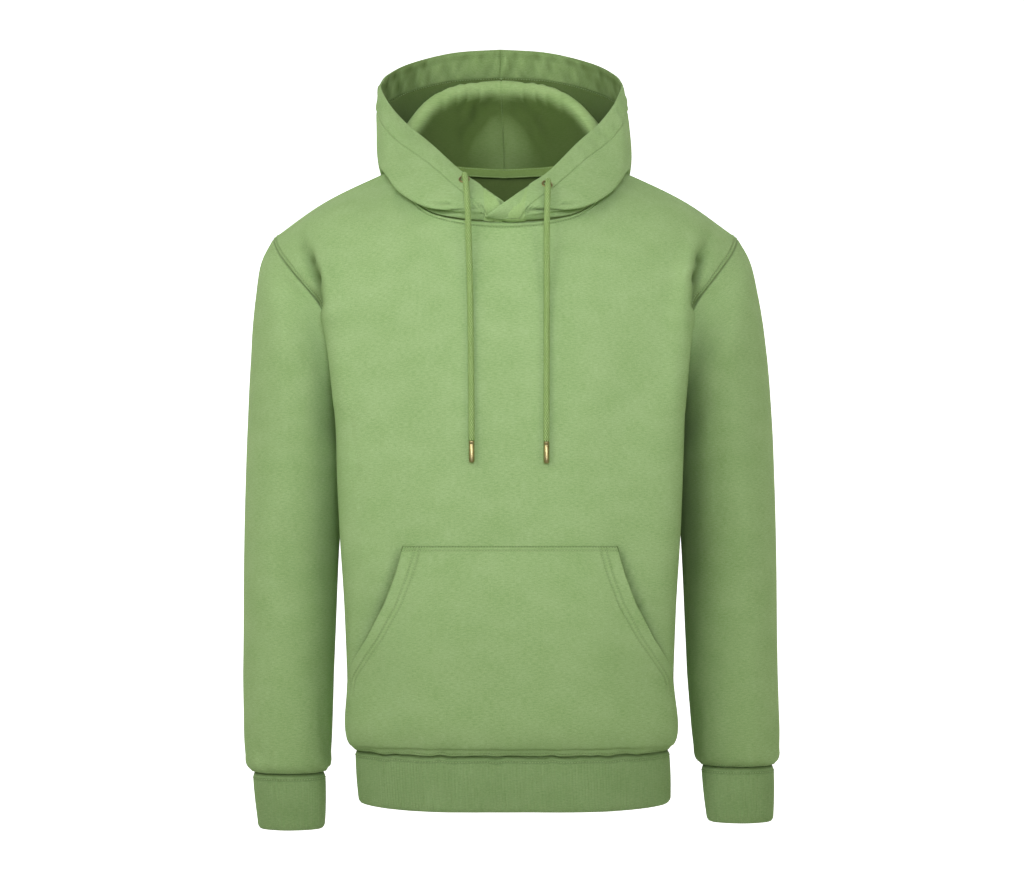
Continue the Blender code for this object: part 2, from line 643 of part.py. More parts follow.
def hood_section(neck, ridge, fold, rim, ridge_turn, fold_turn, bulge, rest, count):
    """One section of the hood, neck seam to rim, with rounded turns at ridge and fold."""
    out = np.array([fold[0], fold[1], 0.0])
    out /= np.linalg.norm(out)
    up = np.array([0, 0, 1.0])
    control = np.array([
        neck,
        neck + (ridge - neck) * 0.35 - out * 0.3 * ridge_turn,
        neck + (ridge - neck) * 0.75 - out * 0.8 * ridge_turn,
        ridge - out * ridge_turn,
        ridge + out * ridge_turn,
        ridge + (fold - ridge) * 0.3 + out * (0.7 * ridge_turn - 0.5 * fold_turn) + up * 0.3 * rest,
        ridge + (fold - ridge) * 0.7 + out * (0.3 * ridge_turn - 1.2 * fold_turn) + up * 0.8 * rest,
        fold - out * 1.7 * fold_turn + up * (0.5 * fold_turn + 0.8 * rest),
        fold - out * 0.9 * fold_turn + up * (0.5 * rest - 0.5 * fold_turn),
        fold + up * 0.3 * fold_turn,
        fold + (rim - fold) * 0.30 + out * 0.8 * bulge,
        fold + (rim - fold) * 0.62 + out * bulge,
        rim - (rim - fold) * 0.10 + out * 0.3 * bulge,
        rim,
    ])
    return spline_through(control, count)


def hood_places(finer=1):
    """Where along HOOD_TABLE the hood's sections stand, or as many times more."""
    places = np.concatenate([[0.0, 0.5], np.linspace(1, len(HOOD_TABLE) - 1, HOOD_SECTIONS - 2)])
    count = finer * (HOOD_SECTIONS - 1) + 1
    return np.interp(np.linspace(0, HOOD_SECTIONS - 1, count), np.arange(HOOD_SECTIONS), places)


def hood_grid(side, finer=1):
    """Outer points of one half of the hood, front tip to centre back."""
    knots = np.arange(len(HOOD_TABLE), dtype=float)
    places = hood_places(finer)
    steps = finer * (HOOD_STEPS - 1) + 1
    rows = smooth(knots, HOOD_TABLE, places)
    necks = neck_edge_at(np.abs(np.interp(places, knots, HOOD_NECK_AT)))
    necks[:, 0] *= np.where(np.interp(places, knots, HOOD_NECK_AT) < 0, -1, 1)
    necks[:, 2] += HOOD_RISE
    grid = []
    for neck, row in zip(necks, rows):
        grid.append(hood_section(neck, row[0:3] + (0, 0, HOOD_RISE), row[3:6], row[6:9],
                                 *row[9:13], steps))
    grid = np.array(grid)
    if side > 0:
        near_front = eased(np.clip((FLAP_FADE_END - grid[..., 0]) / FLAP_FADE, 0, 1))
        near_front *= grid[..., 1] < 0
        up_the_flap = np.linspace(0, 1, steps)
        grid[..., 1] -= FLAP_STEP * near_front * np.minimum(1, 0.55 + 3 * up_the_flap)
        grid[..., 2] -= FLAP_DROP * near_front * np.maximum(0, 1 - 4 * up_the_flap)
    grid[-1, :, 0] = 0.5 * SEAM_GAP / MM
    grid[..., 0] *= side
    return grid


def hood():
    for side, label in ((1, "left"), (-1, "right")):
        grid = hood_grid(side)
        surface = hood_grid(side, FINER)
        behind = side * grid_normals(surface, False)[::FINER, ::FINER]
        flap = np.clip(PLAIN_FLAP_END - hood_places(), 0, 1)[:, None, None]
        behind = unit(behind * (1 - flap) + behind.mean(axis=1, keepdims=True) * flap)
        thickness = np.interp(hood_places(), FLAP_THINS_AT, FLAP_THICKNESS)[:, None]
        room = room_behind(grid, behind, surface)
        thickness = np.where(flap[..., 0] > 0.4, thickness, np.minimum(thickness, FOLDED_SHARE * room))
        inner = grid + behind * thickness[:, :, None]
        inner[-1, :, 0] = grid[-1, :, 0]
        wall(f"hood_{label}", lean(grid), lean(inner), False, ("green hood fleece", GREEN, 0.9))


# ---------------------------------------------------------------- trims


def turned(name, profile, base, axis, sides, look):
    """A ring or rod turned about an axis through base; profile is radius and height pairs."""
    across = unit(np.cross(axis, (1.0, 0.0, 0.0)))
    third = np.cross(axis, across)
    body = bmesh.new()
    closed = profile[0][0] > 0
    rings = []
    for radius, height in profile:
        centre = np.array(base) + axis * height
        if radius == 0:
            rings.append([body.verts.new(centre)])
            continue
        angles = np.linspace(0, 2 * math.pi, sides, endpoint=False)
        rings.append([body.verts.new(centre + radius * (math.cos(a) * across + math.sin(a) * third))
                      for a in angles])
    pairs = list(zip(rings, rings[1:] + rings[:1])) if closed else list(zip(rings, rings[1:]))
    for low, high in pairs:
        for side in range(sides):
            right = (side + 1) % sides
            corners = [low[side % len(low)], low[right % len(low)],
                       high[right % len(high)], high[side % len(high)]]
            body.faces.new(tuple(dict.fromkeys(corners)))
    return finish_piece(name, body, look)


def eyelet(name, route):
    """A flanged ring lying on the hood round the cord's first points."""
    start, onward = route[:2]
    axis = unit(onward - start)
    outer, hole = EYELET_OUTER / 2, EYELET_HOLE / 2
    profile = [(hole, 0.0), (hole, EYELET_HEIGHT * 0.7), (hole + 0.0006, EYELET_HEIGHT),
               (outer - 0.0009, EYELET_HEIGHT * 0.8), (outer, EYELET_HEIGHT * 0.25), (outer, 0.0)]
    base = start * MM - axis * 0.0002
    turned(name, profile, base, axis, 16, ("brass", BRASS, 0.35, 1.0))


def cord(name, route):
    """A round cord along a smooth curve through its route."""
    run = np.concatenate([[0], np.cumsum(np.linalg.norm(np.diff(route, axis=0), axis=1))])
    spread = np.linspace(0, 1, CORD_POINTS) ** CLOSER_AT_EYELET
    points = smooth(run, route, spread * run[-1]) * MM
    curve = bpy.data.curves.new(name, "CURVE")
    curve.dimensions = "3D"
    spline = curve.splines.new("POLY")
    spline.points.add(len(points) - 1)
    for target, point in zip(spline.points, points):
        target.co = (*point, 1.0)
    curve.bevel_depth = CORD_DIAMETER / 2
    curve.bevel_resolution = 2
    curve.use_fill_caps = True
    piece = bpy.data.objects.new(name, curve)
    bpy.context.collection.objects.link(piece)
    add_material(piece, "green braid", CORD_GREEN, 0.85)


def tip(name, route):
    """The turned metal end of a cord."""
    before, end = route[-2:] * MM
    axis = unit(end - before)
    radius, length = TIP_DIAMETER / 2, TIP_LENGTH
    profile = [(0, 0.0), (radius * 0.92, 0.0), (radius, 0.0008), (radius, length - 0.0016),
               (radius * 0.8, length - 0.0004), (0, length)]
    turned(name, profile, end + axis * 0.0003, axis, 16, ("brass", BRASS, 0.35, 1.0))


def trims():
    for label, route in (("left", CORD_LEFT), ("right", CORD_RIGHT)):
        eyelet(f"eyelet_{label}", route)
        cord(f"cord_{label}", route)
        tip(f"tip_{label}", route)


# ---------------------------------------------------------------- the garment


for old in list(bpy.data.objects):
    bpy.data.objects.remove(old, do_unlink=True)
body_panels()
sleeves_and_cuffs()
hem_band()
pocket()
neck_tape()
hood()
trims()
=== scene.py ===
import math

import bmesh
import bpy
import numpy as np
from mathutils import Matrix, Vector


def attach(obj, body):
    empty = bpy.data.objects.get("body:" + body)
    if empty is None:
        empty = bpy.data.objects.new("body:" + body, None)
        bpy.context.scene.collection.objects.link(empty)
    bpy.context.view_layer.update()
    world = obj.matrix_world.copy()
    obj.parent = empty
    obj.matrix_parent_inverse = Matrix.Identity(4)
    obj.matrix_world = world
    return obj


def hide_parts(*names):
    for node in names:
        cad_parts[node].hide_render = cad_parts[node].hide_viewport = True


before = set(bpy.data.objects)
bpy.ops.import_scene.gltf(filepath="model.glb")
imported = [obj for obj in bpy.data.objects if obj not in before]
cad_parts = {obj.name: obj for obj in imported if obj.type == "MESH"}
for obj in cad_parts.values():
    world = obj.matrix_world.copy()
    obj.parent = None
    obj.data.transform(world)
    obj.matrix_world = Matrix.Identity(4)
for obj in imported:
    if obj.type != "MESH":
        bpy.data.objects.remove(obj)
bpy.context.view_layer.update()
mm = 0.001

# camera: level, a little under the middle of the garment
camera = bpy.data.objects.new("camera", bpy.data.cameras.new("camera"))
bpy.context.scene.collection.objects.link(camera)
camera.location = (0.0023, -3.0, -0.292)
camera.rotation_euler = (math.radians(90), 0, 0)
camera.data.lens = 93.3
bpy.context.scene.camera = camera

# drawcords in metres, eyelet to tip; both hang plumb from the channel in the hood's edge
cordRoutes = {
    "left": [
        (0.0408, -0.0943, -0.0148), (0.0420, -0.0978, -0.0112), (0.0419, -0.1022, -0.0110),
        (0.0416, -0.1068, -0.0150), (0.0412, -0.1110, -0.0215), (0.0409, -0.1148, -0.0295),
        (0.0406, -0.1177, -0.0375), (0.0404, -0.1184, -0.0470), (0.0403, -0.1183, -0.0750),
        (0.0402, -0.1185, -0.1100), (0.0401, -0.1196, -0.1500), (0.0400, -0.1215, -0.1850),
        (0.0399, -0.1226, -0.2200), (0.0398, -0.1227, -0.2580), (0.0397, -0.1220, -0.2960),
    ],
    "right": [
        (-0.0502, -0.0844, -0.0084), (-0.0504, -0.0878, -0.0045), (-0.0499, -0.0922, -0.0036),
        (-0.0490, -0.0974, -0.0068), (-0.0481, -0.1026, -0.0130), (-0.0473, -0.1076, -0.0215),
        (-0.0466, -0.1120, -0.0305), (-0.0461, -0.1155, -0.0390), (-0.0456, -0.1162, -0.0490),
        (-0.0448, -0.1164, -0.0770), (-0.0436, -0.1171, -0.1150), (-0.0428, -0.1196, -0.1550),
        (-0.0422, -0.1222, -0.1980), (-0.0418, -0.1227, -0.2400), (-0.0415, -0.1220, -0.2950),
    ],
}
cordMeasures = {"thick": 0.0066, "strands": 8, "lay": 0.0044, "relief": 0.20, "squeeze": 0.2,
                "step": 0.0006, "sides": 40, "round": 0.0207}


# curves and grids, in millimetres

def tangents(knots, values):
    steps = np.diff(knots)[:, None]
    rises = np.diff(values, axis=0) / steps
    inner = (rises[:-1] * steps[1:] + rises[1:] * steps[:-1]) / (steps[:-1] + steps[1:])
    return np.vstack([rises[:1], inner, rises[-1:]])


def smooth(knots, values, at):
    # a smooth curve through rows of values, read at other places
    knots = np.asarray(knots, float)
    values = np.asarray(values, float).reshape(len(knots), -1)
    at = np.clip(np.atleast_1d(at), knots[0], knots[-1])
    slopes = tangents(knots, values)
    low = np.clip(np.searchsorted(knots, at, side="right") - 1, 0, len(knots) - 2)
    span = (knots[low + 1] - knots[low])[:, None]
    part = (at - knots[low])[:, None] / span
    square, cube = part ** 2, part ** 3
    return ((2 * cube - 3 * square + 1) * values[low]
            + (cube - 2 * square + part) * span * slopes[low]
            + (3 * square - 2 * cube) * values[low + 1]
            + (cube - square) * span * slopes[low + 1])


def splineThrough(control, count):
    # rounded turns and no overshoot
    control = np.vstack([control[:1], control[:1], control, control[-1:], control[-1:]])
    spans = len(control) - 3
    at = np.linspace(0, spans, count)
    first = np.minimum(at.astype(int), spans - 1)
    part = (at - first)[:, None]
    weights = ((1 - part) ** 3 / 6, (3 * part ** 3 - 6 * part ** 2 + 4) / 6,
               (-3 * part ** 3 + 3 * part ** 2 + 3 * part + 1) / 6, part ** 3 / 6)
    return sum(weight * control[first + step] for step, weight in enumerate(weights))


def runAlong(line):
    return np.concatenate([[0], np.cumsum(np.linalg.norm(np.diff(line, axis=0), axis=1))])


def pointsAt(at, run, line):
    return np.column_stack([np.interp(at, run, line[:, axis]) for axis in range(3)])


def spread(line, start, end, count):
    # points at set distances from both ends of a fine line, and even steps between
    run = runAlong(line)
    middle = np.linspace(start[-1], run[-1] - end[-1], count + 2)[1:-1]
    return pointsAt(np.concatenate([start, middle, run[-1] - np.array(end)[::-1]]), run, line)


def spreadRows(grid, start, end, count):
    return np.array([spread(line, start, end, count) for line in grid])


def spreadColumns(grid, start, end, count):
    return spreadRows(grid.transpose(1, 0, 2), start, end, count).transpose(1, 0, 2)


def unit(vectors):
    return vectors / np.maximum(np.linalg.norm(vectors, axis=-1, keepdims=True), 1e-12)


def eased(value):
    value = np.clip(value, 0, 1)
    return value * value * (3 - 2 * value)


def gridRuns(grid):
    across = np.array([runAlong(line) for line in grid])
    return across, np.array([runAlong(line) for line in grid.transpose(1, 0, 2)]).T


def gridNormals(points, closed=False):
    down = np.gradient(points, axis=0)
    if closed:
        along = np.roll(points, -1, axis=1) - np.roll(points, 1, axis=1)
    else:
        along = np.gradient(points, axis=1)
    return unit(np.cross(along, down))


# the whole garment hangs slightly towards the wearer's right
leanTable = np.array([
    (-720, 6.5), (-640, 2.5), (-560, 0.5), (-280, 0.0), (-200, -1.0), (-140, -3.0),
    (-100, -4.5), (-50, -5.5), (0, -5.0), (50, -7.5), (100, -10.0), (170, -11.0),
])


def lean(points):
    moved = np.array(points, float)
    moved[..., 0] += np.interp(moved[..., 2], leanTable[:, 0], leanTable[:, 1])
    return moved


# soft folds: each is a line in a plane, a reach and a depth; a ridge has a depth below zero

def folds(flat, lines):
    depth = np.zeros(flat.shape[:-1])
    for x0, z0, x1, z1, reach, deep in lines:
        start, way = np.array([x0, z0], float), np.array([x1 - x0, z1 - z0], float)
        part = np.clip(((flat - start) * way).sum(-1) / (way @ way), 0, 1)
        apart = np.linalg.norm(flat - start - part[..., None] * way, axis=-1)
        depth += deep * np.exp(-(apart / reach) ** 2)
    return depth


def bothSides(*lines):
    return [(way * x0, z0, way * x1, z1, reach, deep)
            for way in (-1, 1) for x0, z0, x1, z1, reach, deep in lines]


def ripple(run, length, seed):
    # a slow uneven wave along a seam
    turn = 2 * math.pi * run / length
    return (0.5 * np.sin(turn + seed) + 0.3 * np.sin(1.63 * turn + 2.1 * seed)
            + 0.2 * np.sin(2.37 * turn + 3.7 * seed))


def groove(distance, at, deep, reach=0.9):
    return deep * np.exp(-((distance - at) / reach) ** 2)


def grooves(distance, rows):
    return sum(groove(distance, *row) for row in rows)


# meshes

def addObject(name, data):
    piece = bpy.data.objects.new(name, data)
    bpy.context.scene.collection.objects.link(piece)
    return piece


def settle(mesh, weld=False):
    body = bmesh.new()
    body.from_mesh(mesh)
    if weld:
        bmesh.ops.remove_doubles(body, verts=body.verts, dist=1e-6)
    bmesh.ops.recalc_face_normals(body, faces=body.faces)
    body.to_mesh(mesh)
    body.free()


def pointValues(piece, name, values):
    layer = piece.data.attributes.new(name, "FLOAT", "POINT")
    layer.data.foreach_set("value", np.asarray(values, np.float32))


def makePiece(name, vertices, faces, uv=None, inside=()):
    mesh = bpy.data.meshes.new(name)
    mesh.from_pydata([tuple(v) for v in vertices], [], faces)
    for face in inside:
        mesh.polygons[face].material_index = 1
    if uv is not None:
        layer = mesh.uv_layers.new(name="cloth")
        corners = np.empty(len(mesh.loops), int)
        mesh.loops.foreach_get("vertex_index", corners)
        layer.data.foreach_set("uv", uv[corners].astype(np.float32).ravel())
    mesh.shade_smooth()
    settle(mesh)
    return addObject(name, mesh)


def clothSize(grid, grain):
    # how far each point lies along the cloth, across and along the grain, in metres
    across, up = gridRuns(grid)
    if grain == "turned":  # the grain follows the rows instead
        return np.stack([up, across], axis=2) * mm
    across -= across.mean(axis=1, keepdims=True)
    if grain == "last":  # the grain is true to the last row
        up = up - up[-1:]
    return np.stack([across, up], axis=2) * mm


def cloth(name, outer, inner, shade, closed=False, grain="first"):
    # a thin wall between two grids, its edges rounded over
    if closed:
        outer, inner, *shade = (np.concatenate([g, g[:, :1]], axis=1) for g in (outer, inner, *shade))
    rows, columns = outer.shape[:2]
    size = clothSize(outer, grain)
    print(name, "cut about", (size.max(axis=(0, 1)) - size.min(axis=(0, 1))).round(3))
    vertices, uv, faces = [], [], []

    def strip(a, b):
        for one in range(len(a) - 1):
            faces.append((a[one], a[one + 1], b[one + 1], b[one]))

    def addLine(points, places):
        first = len(vertices)
        vertices.extend(points * mm)
        uv.extend(places)
        return list(range(first, first + len(points)))

    skins = []
    for grid in (outer, inner):
        skins.append([addLine(grid[row], size[row]) for row in range(rows)])
        for row in range(rows - 1):
            strip(skins[-1][row], skins[-1][row + 1])
    for edge, beside in ((0, 1), (rows - 1, rows - 2)):
        over = (outer[edge] + inner[edge]) / 2
        thick = np.linalg.norm(outer[edge] - inner[edge], axis=1, keepdims=True)
        over += unit(outer[edge] - outer[beside]) * 0.3 * thick
        middle = addLine(over, size[edge])
        strip(skins[0][edge], middle)
        strip(middle, skins[1][edge])
        if not closed:
            for end in (0, -1):
                faces.append((skins[0][edge][end], middle[end], skins[1][edge][end]))
    if not closed:
        for edge in (0, columns - 1):
            strip([row[edge] for row in skins[0]], [row[edge] for row in skins[1]])
    half = (rows - 1) * (columns - 1)
    piece = makePiece(name, vertices, faces, np.array(uv), range(half, 2 * half))
    # painted shade for each point of the two skins, from 0 to 1, nought at the rolled edges
    depths = np.clip(np.concatenate([side.ravel() for side in shade]), 0, 1)
    pointValues(piece, "shade", np.pad(depths, (0, len(vertices) - len(depths))))
    if closed:  # the tube's seam is welded; its cloth size keeps its own corner values
        settle(piece.data, weld=True)
    return piece


# body panels

neck = np.array([
    (0, -104, -57), (45, -99, -54), (82, -83, -44), (106, -54, -23), (116, -22, 2), (115, 3, 18),
    (101, 34, 23), (78, 57, 21), (52, 71, 18), (26, 78, 17), (0, 80, 16),
])
shoulderRow = 5
armhole = np.array([
    # angle, x, y, z
    (0, 262.5, 3, -67), (24, 255, -28, -84), (48, 237, -53, -108), (78, 207, -67, -146),
    (125, 181, -44, -212), (180, 172, 5, -262), (235, 181, 52, -212), (282, 207, 75, -148),
    (312, 237, 62, -110), (336, 255, 36, -84), (360, 262.5, 3, -67),
])
acrossAt = np.array([0.0, 0.42, 0.76, 1.0])
frontSections = np.array([
    (0, -102, -641, 105, -95, -641, 171, -50, -641, 175, 2, -641),
    (0, -109, -630, 106, -101, -630, 178, -58, -631, 177, 3, -631),
    (0, -110, -560, 106, -103, -560, 179, -62, -560, 177, 4, -560),
    (0, -111, -480, 107, -105, -480, 182, -66, -480, 178, 5, -480),
    (0, -113, -400, 109, -107, -400, 187, -70, -400, 180, 6, -400),
    (0, -116, -330, 110, -110, -330, 190.5, -74, -330, 178, 6, -330),
    (0, -118, -262, 111, -112, -262, 193, -78, -262, 172, 5, -262),
    (0, -118, -205, 113, -112, -198, 199, -82, -190, 181, -44, -212),
    (0, -115, -152, 118, -107, -138, 205, -82, -143, 207, -67, -146),
    (0, -110, -108, 124, -95, -86, 213, -70, -96, 237, -53, -108),
    (0, -106.5, -80, 129, -66, -40, 208, -42, -46, 255, -28, -84),
    (0, -104, -57, 115, 3, 18, 207, 3, -27, 262.5, 3, -67),
])
backSections = np.array([
    (0, 88, -641, 105, 83, -641, 169, 48, -641, 175, 2, -641),
    (0, 95, -630, 106, 90, -630, 175, 57, -631, 177, 3, -631),
    (0, 97, -560, 106, 92, -560, 177, 62, -560, 177, 4, -560),
    (0, 98, -480, 107, 94, -480, 180, 66, -480, 178, 5, -480),
    (0, 100, -400, 109, 97, -400, 184, 70, -400, 180, 6, -400),
    (0, 106, -330, 110, 103, -330, 188, 76, -330, 178, 6, -330),
    (0, 113, -262, 111, 110, -262, 191, 84, -262, 172, 5, -262),
    (0, 117, -205, 113, 115, -200, 198, 92, -196, 181, 52, -212),
    (0, 116, -152, 118, 113, -142, 207, 90, -144, 207, 75, -148),
    (0, 108, -90, 122, 100, -80, 215, 78, -98, 237, 62, -110),
    (0, 97, -36, 124, 66, -22, 208, 50, -44, 255, 36, -84),
    (0, 80, 16, 115, 3, 18, 207, 3, -27, 262.5, 3, -67),
])
sectionAt = np.array([0.0, 0.02, 0.12, 0.23, 0.34, 0.44, 0.54, 0.63, 0.72, 0.82, 0.91, 1.0])
underarm = 6
frontAngles = np.array([180, 125, 78, 48, 24, 0])
backAngles = np.array([180, 235, 282, 312, 336, 360])
nearSeam = [0, 0.7, 1.4, 2.1, 2.8, 3.5, 4.2, 4.9, 5.6, 6.4, 7.3, 8.4, 10, 12.5, 16]


def neckAt(places):
    return smooth(np.arange(len(neck)), neck, places)


def armholeAt(angles):
    turns = np.concatenate([armhole[-3:-1, 0] - 360, armhole[:, 0], armhole[1:3, 0] + 360])
    points = np.vstack([armhole[-3:-1, 1:], armhole[:, 1:], armhole[1:3, 1:]])
    return smooth(turns, points, angles)


def topEdge(across, front):
    # the neckline, then the shoulder seam out to the armhole
    end = len(neck) - 1
    part = np.abs(across)
    onNeck = np.minimum(part / acrossAt[1], 1.0)
    places = onNeck * shoulderRow if front else end - onNeck * (end - shoulderRow)
    seam = smooth(acrossAt[1:], frontSections[-1].reshape(4, 3)[1:], part)
    edge = np.where(part[:, None] > acrossAt[1], seam, neckAt(places))
    edge[:, 0] *= np.sign(across)
    return edge


def acrossSection(points, across):
    spreadAt = np.concatenate([-acrossAt[:0:-1], acrossAt])
    return smooth(spreadAt, np.vstack([points[:0:-1] * (-1, 1, 1), points]), across)


def panel(front, across, along):
    sections = frontSections if front else backSections
    guides = smooth(sectionAt, sections, along).reshape(len(along), 4, 3)
    upper = along > sectionAt[underarm]
    side = sections[:underarm + 1, 9:]
    guides[~upper, 3] = smooth(sectionAt[:underarm + 1], side, along[~upper])
    angles = frontAngles if front else backAngles
    guides[upper, 3] = armholeAt(np.interp(along[upper], sectionAt[underarm:], angles))
    grid = np.array([acrossSection(points, across) for points in guides])
    top = acrossSection(sections[-1].reshape(4, 3), across)
    share = eased((along - sectionAt[-3]) / (1 - sectionAt[-3]))
    return grid + share[:, None, None] * (topEdge(across, front) - top)


bodyMeasures = {
    "thick": 2.2, "columns": 92, "rows": 112, "roll": 1.3, "rollReach": 1.3,
    "stitch": 3.5, "neckStitch": 5.6, "hemStitch": 4.2, "underarm": -262, "neckHalf": 120, "wave": 1.1,
    # seams: distance from the edge, depth and reach, then the same for the painted shade in them
    "armSeam": [(3.5, 0.9), (1.9, -0.5, 1.0), (5.6, -0.4, 1.3)], "armShade": [(3.5, 0.55), (0, 0.6, 1.1)],
    "neckSeam": [(5.6, 0.9), (2.8, -0.7, 1.8)], "hemShade": [(4.2, 0.6), (0, 0.9, 1.8)],
}
# x and z of each fold's ends, its reach, its depth
frontFolds = [
    (-231, -70, -219, -92, 8, 4.6), (-219, -92, -211, -114, 8, 9.0), (-211, -114, -208, -146, 7, 7.0),
    (-207, -84, -198, -110, 9, -4.4), (-198, -110, -190, -160, 10, -5.0),
    (-190, -160, -181, -250, 12, -3.0),
    (230, -70, 219, -91, 8, 4.6), (219, -91, 212, -114, 8, 9.0), (212, -114, 208, -146, 7, 7.0),
    (205, -84, 198, -110, 9, -4.2), (198, -110, 190, -160, 10, -4.8), (190, -160, 181, -250, 12, -2.9),
    (-150, -250, -70, -330, 30, 1.2), (-168, -300, -110, -420, 26, 1.0),
    (150, -260, 84, -350, 30, 1.1), (166, -330, 120, -450, 24, 1.0),
    (-120, -60, -150, -30, 18, 1.0), (112, -62, 148, -34, 18, 0.9),
    (-60, -300, 40, -330, 40, 0.8), (-30, -420, 70, -400, 36, -0.8),
    (-150, -470, -120, -560, 20, 1.0), (150, -480, 132, -560, 20, 0.9),
    *bothSides((120, -420, 138, -478, 6, 3.0), (138, -478, 171, -552, 6, 3.4)),
]
frontCreaseShade = [  # the same, for the painted shade in each crease
    (-226, -76, -219, -92, 5, 0.35), (-219, -92, -211, -114, 5.5, 0.8), (-211, -114, -209, -146, 6, 0.8),
    (224, -76, 219, -91, 5, 0.35), (219, -91, 212, -114, 5.5, 0.8), (212, -114, 209, -146, 6, 0.8),
    *bothSides((120, -424, 138, -478, 4.5, 0.6), (138, -478, 171, -552, 4.5, 0.7)),
]
backFolds = [
    (-190, -90, -160, -190, 20, 2.6), (-160, -190, -100, -300, 28, 1.6),
    (186, -90, 158, -196, 20, 2.4), (158, -196, 108, -290, 28, 1.5),
    (-60, -60, 0, -84, 26, 1.2), (0, -84, 64, -62, 26, 1.1),
    (-40, -150, 60, -170, 40, -1.0), (-150, -380, -60, -440, 34, 1.4),
    (150, -360, 80, -450, 34, 1.2), (-110, -520, 20, -560, 30, -1.1), (20, -500, 120, -540, 30, 0.9),
]


def hemWave(places, front):
    # how far the seam over the rib band wanders up and down
    share = eased((172 - np.abs(places)) / 24)
    return bodyMeasures["wave"] * share * ripple(places, 41, 1.3 if front else 4.1)


def edgeRuns(grid):
    # distances along the cloth from each of the four edges
    across, up = gridRuns(grid)
    return across, across[:, -1:] - across, up, up[-1:] - up


def bodyPanel(front):
    m = bodyMeasures
    grid = panel(front, np.linspace(-1, 1, 321), np.linspace(0, 1, 361))
    grid = spreadRows(grid, nearSeam, nearSeam, m["columns"])
    grid = spreadColumns(grid, nearSeam, nearSeam, m["rows"])
    out = gridNormals(grid) * (1 if front else -1)
    left, right, low, high = edgeRuns(grid)
    side = np.minimum(left, right)
    grid[..., 2] += hemWave(grid[..., 0], front) * groove(low, 0, 1, 9)
    depth = folds(grid[..., (0, 2)], frontFolds if front else backFolds)
    depth *= eased(side / 7) * eased(low / 20) * eased(high / 14)
    aboveArm = eased((grid[..., 2] - m["underarm"]) / 12)
    for edge, share in ((side, 1 - 0.5 * aboveArm), (low, 1), (high, 1)):
        depth += groove(edge, 0, m["roll"], m["rollReach"]) * share
    onNeck = eased((m["neckHalf"] - np.abs(grid[..., 0])) / 3)
    depth += grooves(side, m["armSeam"]) * aboveArm
    depth += groove(high, m["stitch"], 0.5) * (1 - onNeck) + grooves(high, m["neckSeam"]) * onNeck
    depth += groove(low, m["hemStitch"], 0.5)
    # the cloth puckers between the stitches
    depth -= ripple(grid[..., 0], 46, 1.3 if front else 4.1) * groove(low, 7, 1.5, 7)
    depth -= ripple(grid[..., 2] + grid[..., 1], 31, 2.2) * groove(side, 5, 0.5, 5) * aboveArm
    outer = grid - out * depth[..., None]
    inner = outer - out * m["thick"]
    name = "bodyFront" if front else "bodyBack"
    # painted shade in the front's creases, along the seams and hem, and on the inside near the neck
    shade = folds(grid[..., (0, 2)], frontCreaseShade) if front else 0 * side
    shade += grooves(side, m["armShade"]) * aboveArm + grooves(low, m["hemShade"])
    shade += groove(high, m["stitch"], 0.5) * (1 - onNeck) + groove(high, m["neckStitch"], 0.7) * onNeck
    piece = cloth(name, lean(outer), lean(inner), (shade, eased((90 - high) / 50)))
    top = outer + out * 0.1
    column, neckRow, hemRow = (nearSeam.index(m[key]) for key in ("stitch", "neckStitch", "hemStitch"))
    arm = grid[:, 0, 2] > m["underarm"] + 4
    nearNeck = np.abs(grid[-1 - neckRow, :, 0]) < 116
    lines = [top[arm, column], top[arm, -1 - column], top[-1 - neckRow, nearNeck], top[hemRow, 2:-2]]
    if not front:
        for way in (1, -1):
            lines.append(top[-1 - column, way * grid[-1 - column, :, 0] > 119])
    return piece, lines


# sleeves

sleeveSections = np.array([
    # centre x, y, z, half width, half depth, tilt in degrees
    (229, 4, -178, 97, 73, 61), (234.5, 5, -204, 88, 77, 56), (240, 7, -242, 70, 76, 42),
    (241, 9, -290, 60, 74, 22), (244.5, 9, -350, 55.5, 69, 8), (248, 9, -426, 53.5, 63, 2),
    (250, 7, -510, 52.0, 56, 0), (252, 2, -590, 50.5, 48, 0), (253, -4, -638, 48.5, 41, 0),
    (253, -6, -654, 46.5, 37, 0), (253, -7, -661, 40.5, 29, 0),
])
sleeveMeasures = {
    "thick": 2.2, "turns": 132, "rows": 88, "lengthen": {"left": 0, "right": 8}, "seam": 180, "stitch": 4.2,
    "inward": {"left": 0.95, "right": 0.25}, "cuffShade": [(4.2, 0.5), (0, 0.8, 1.6)],
}
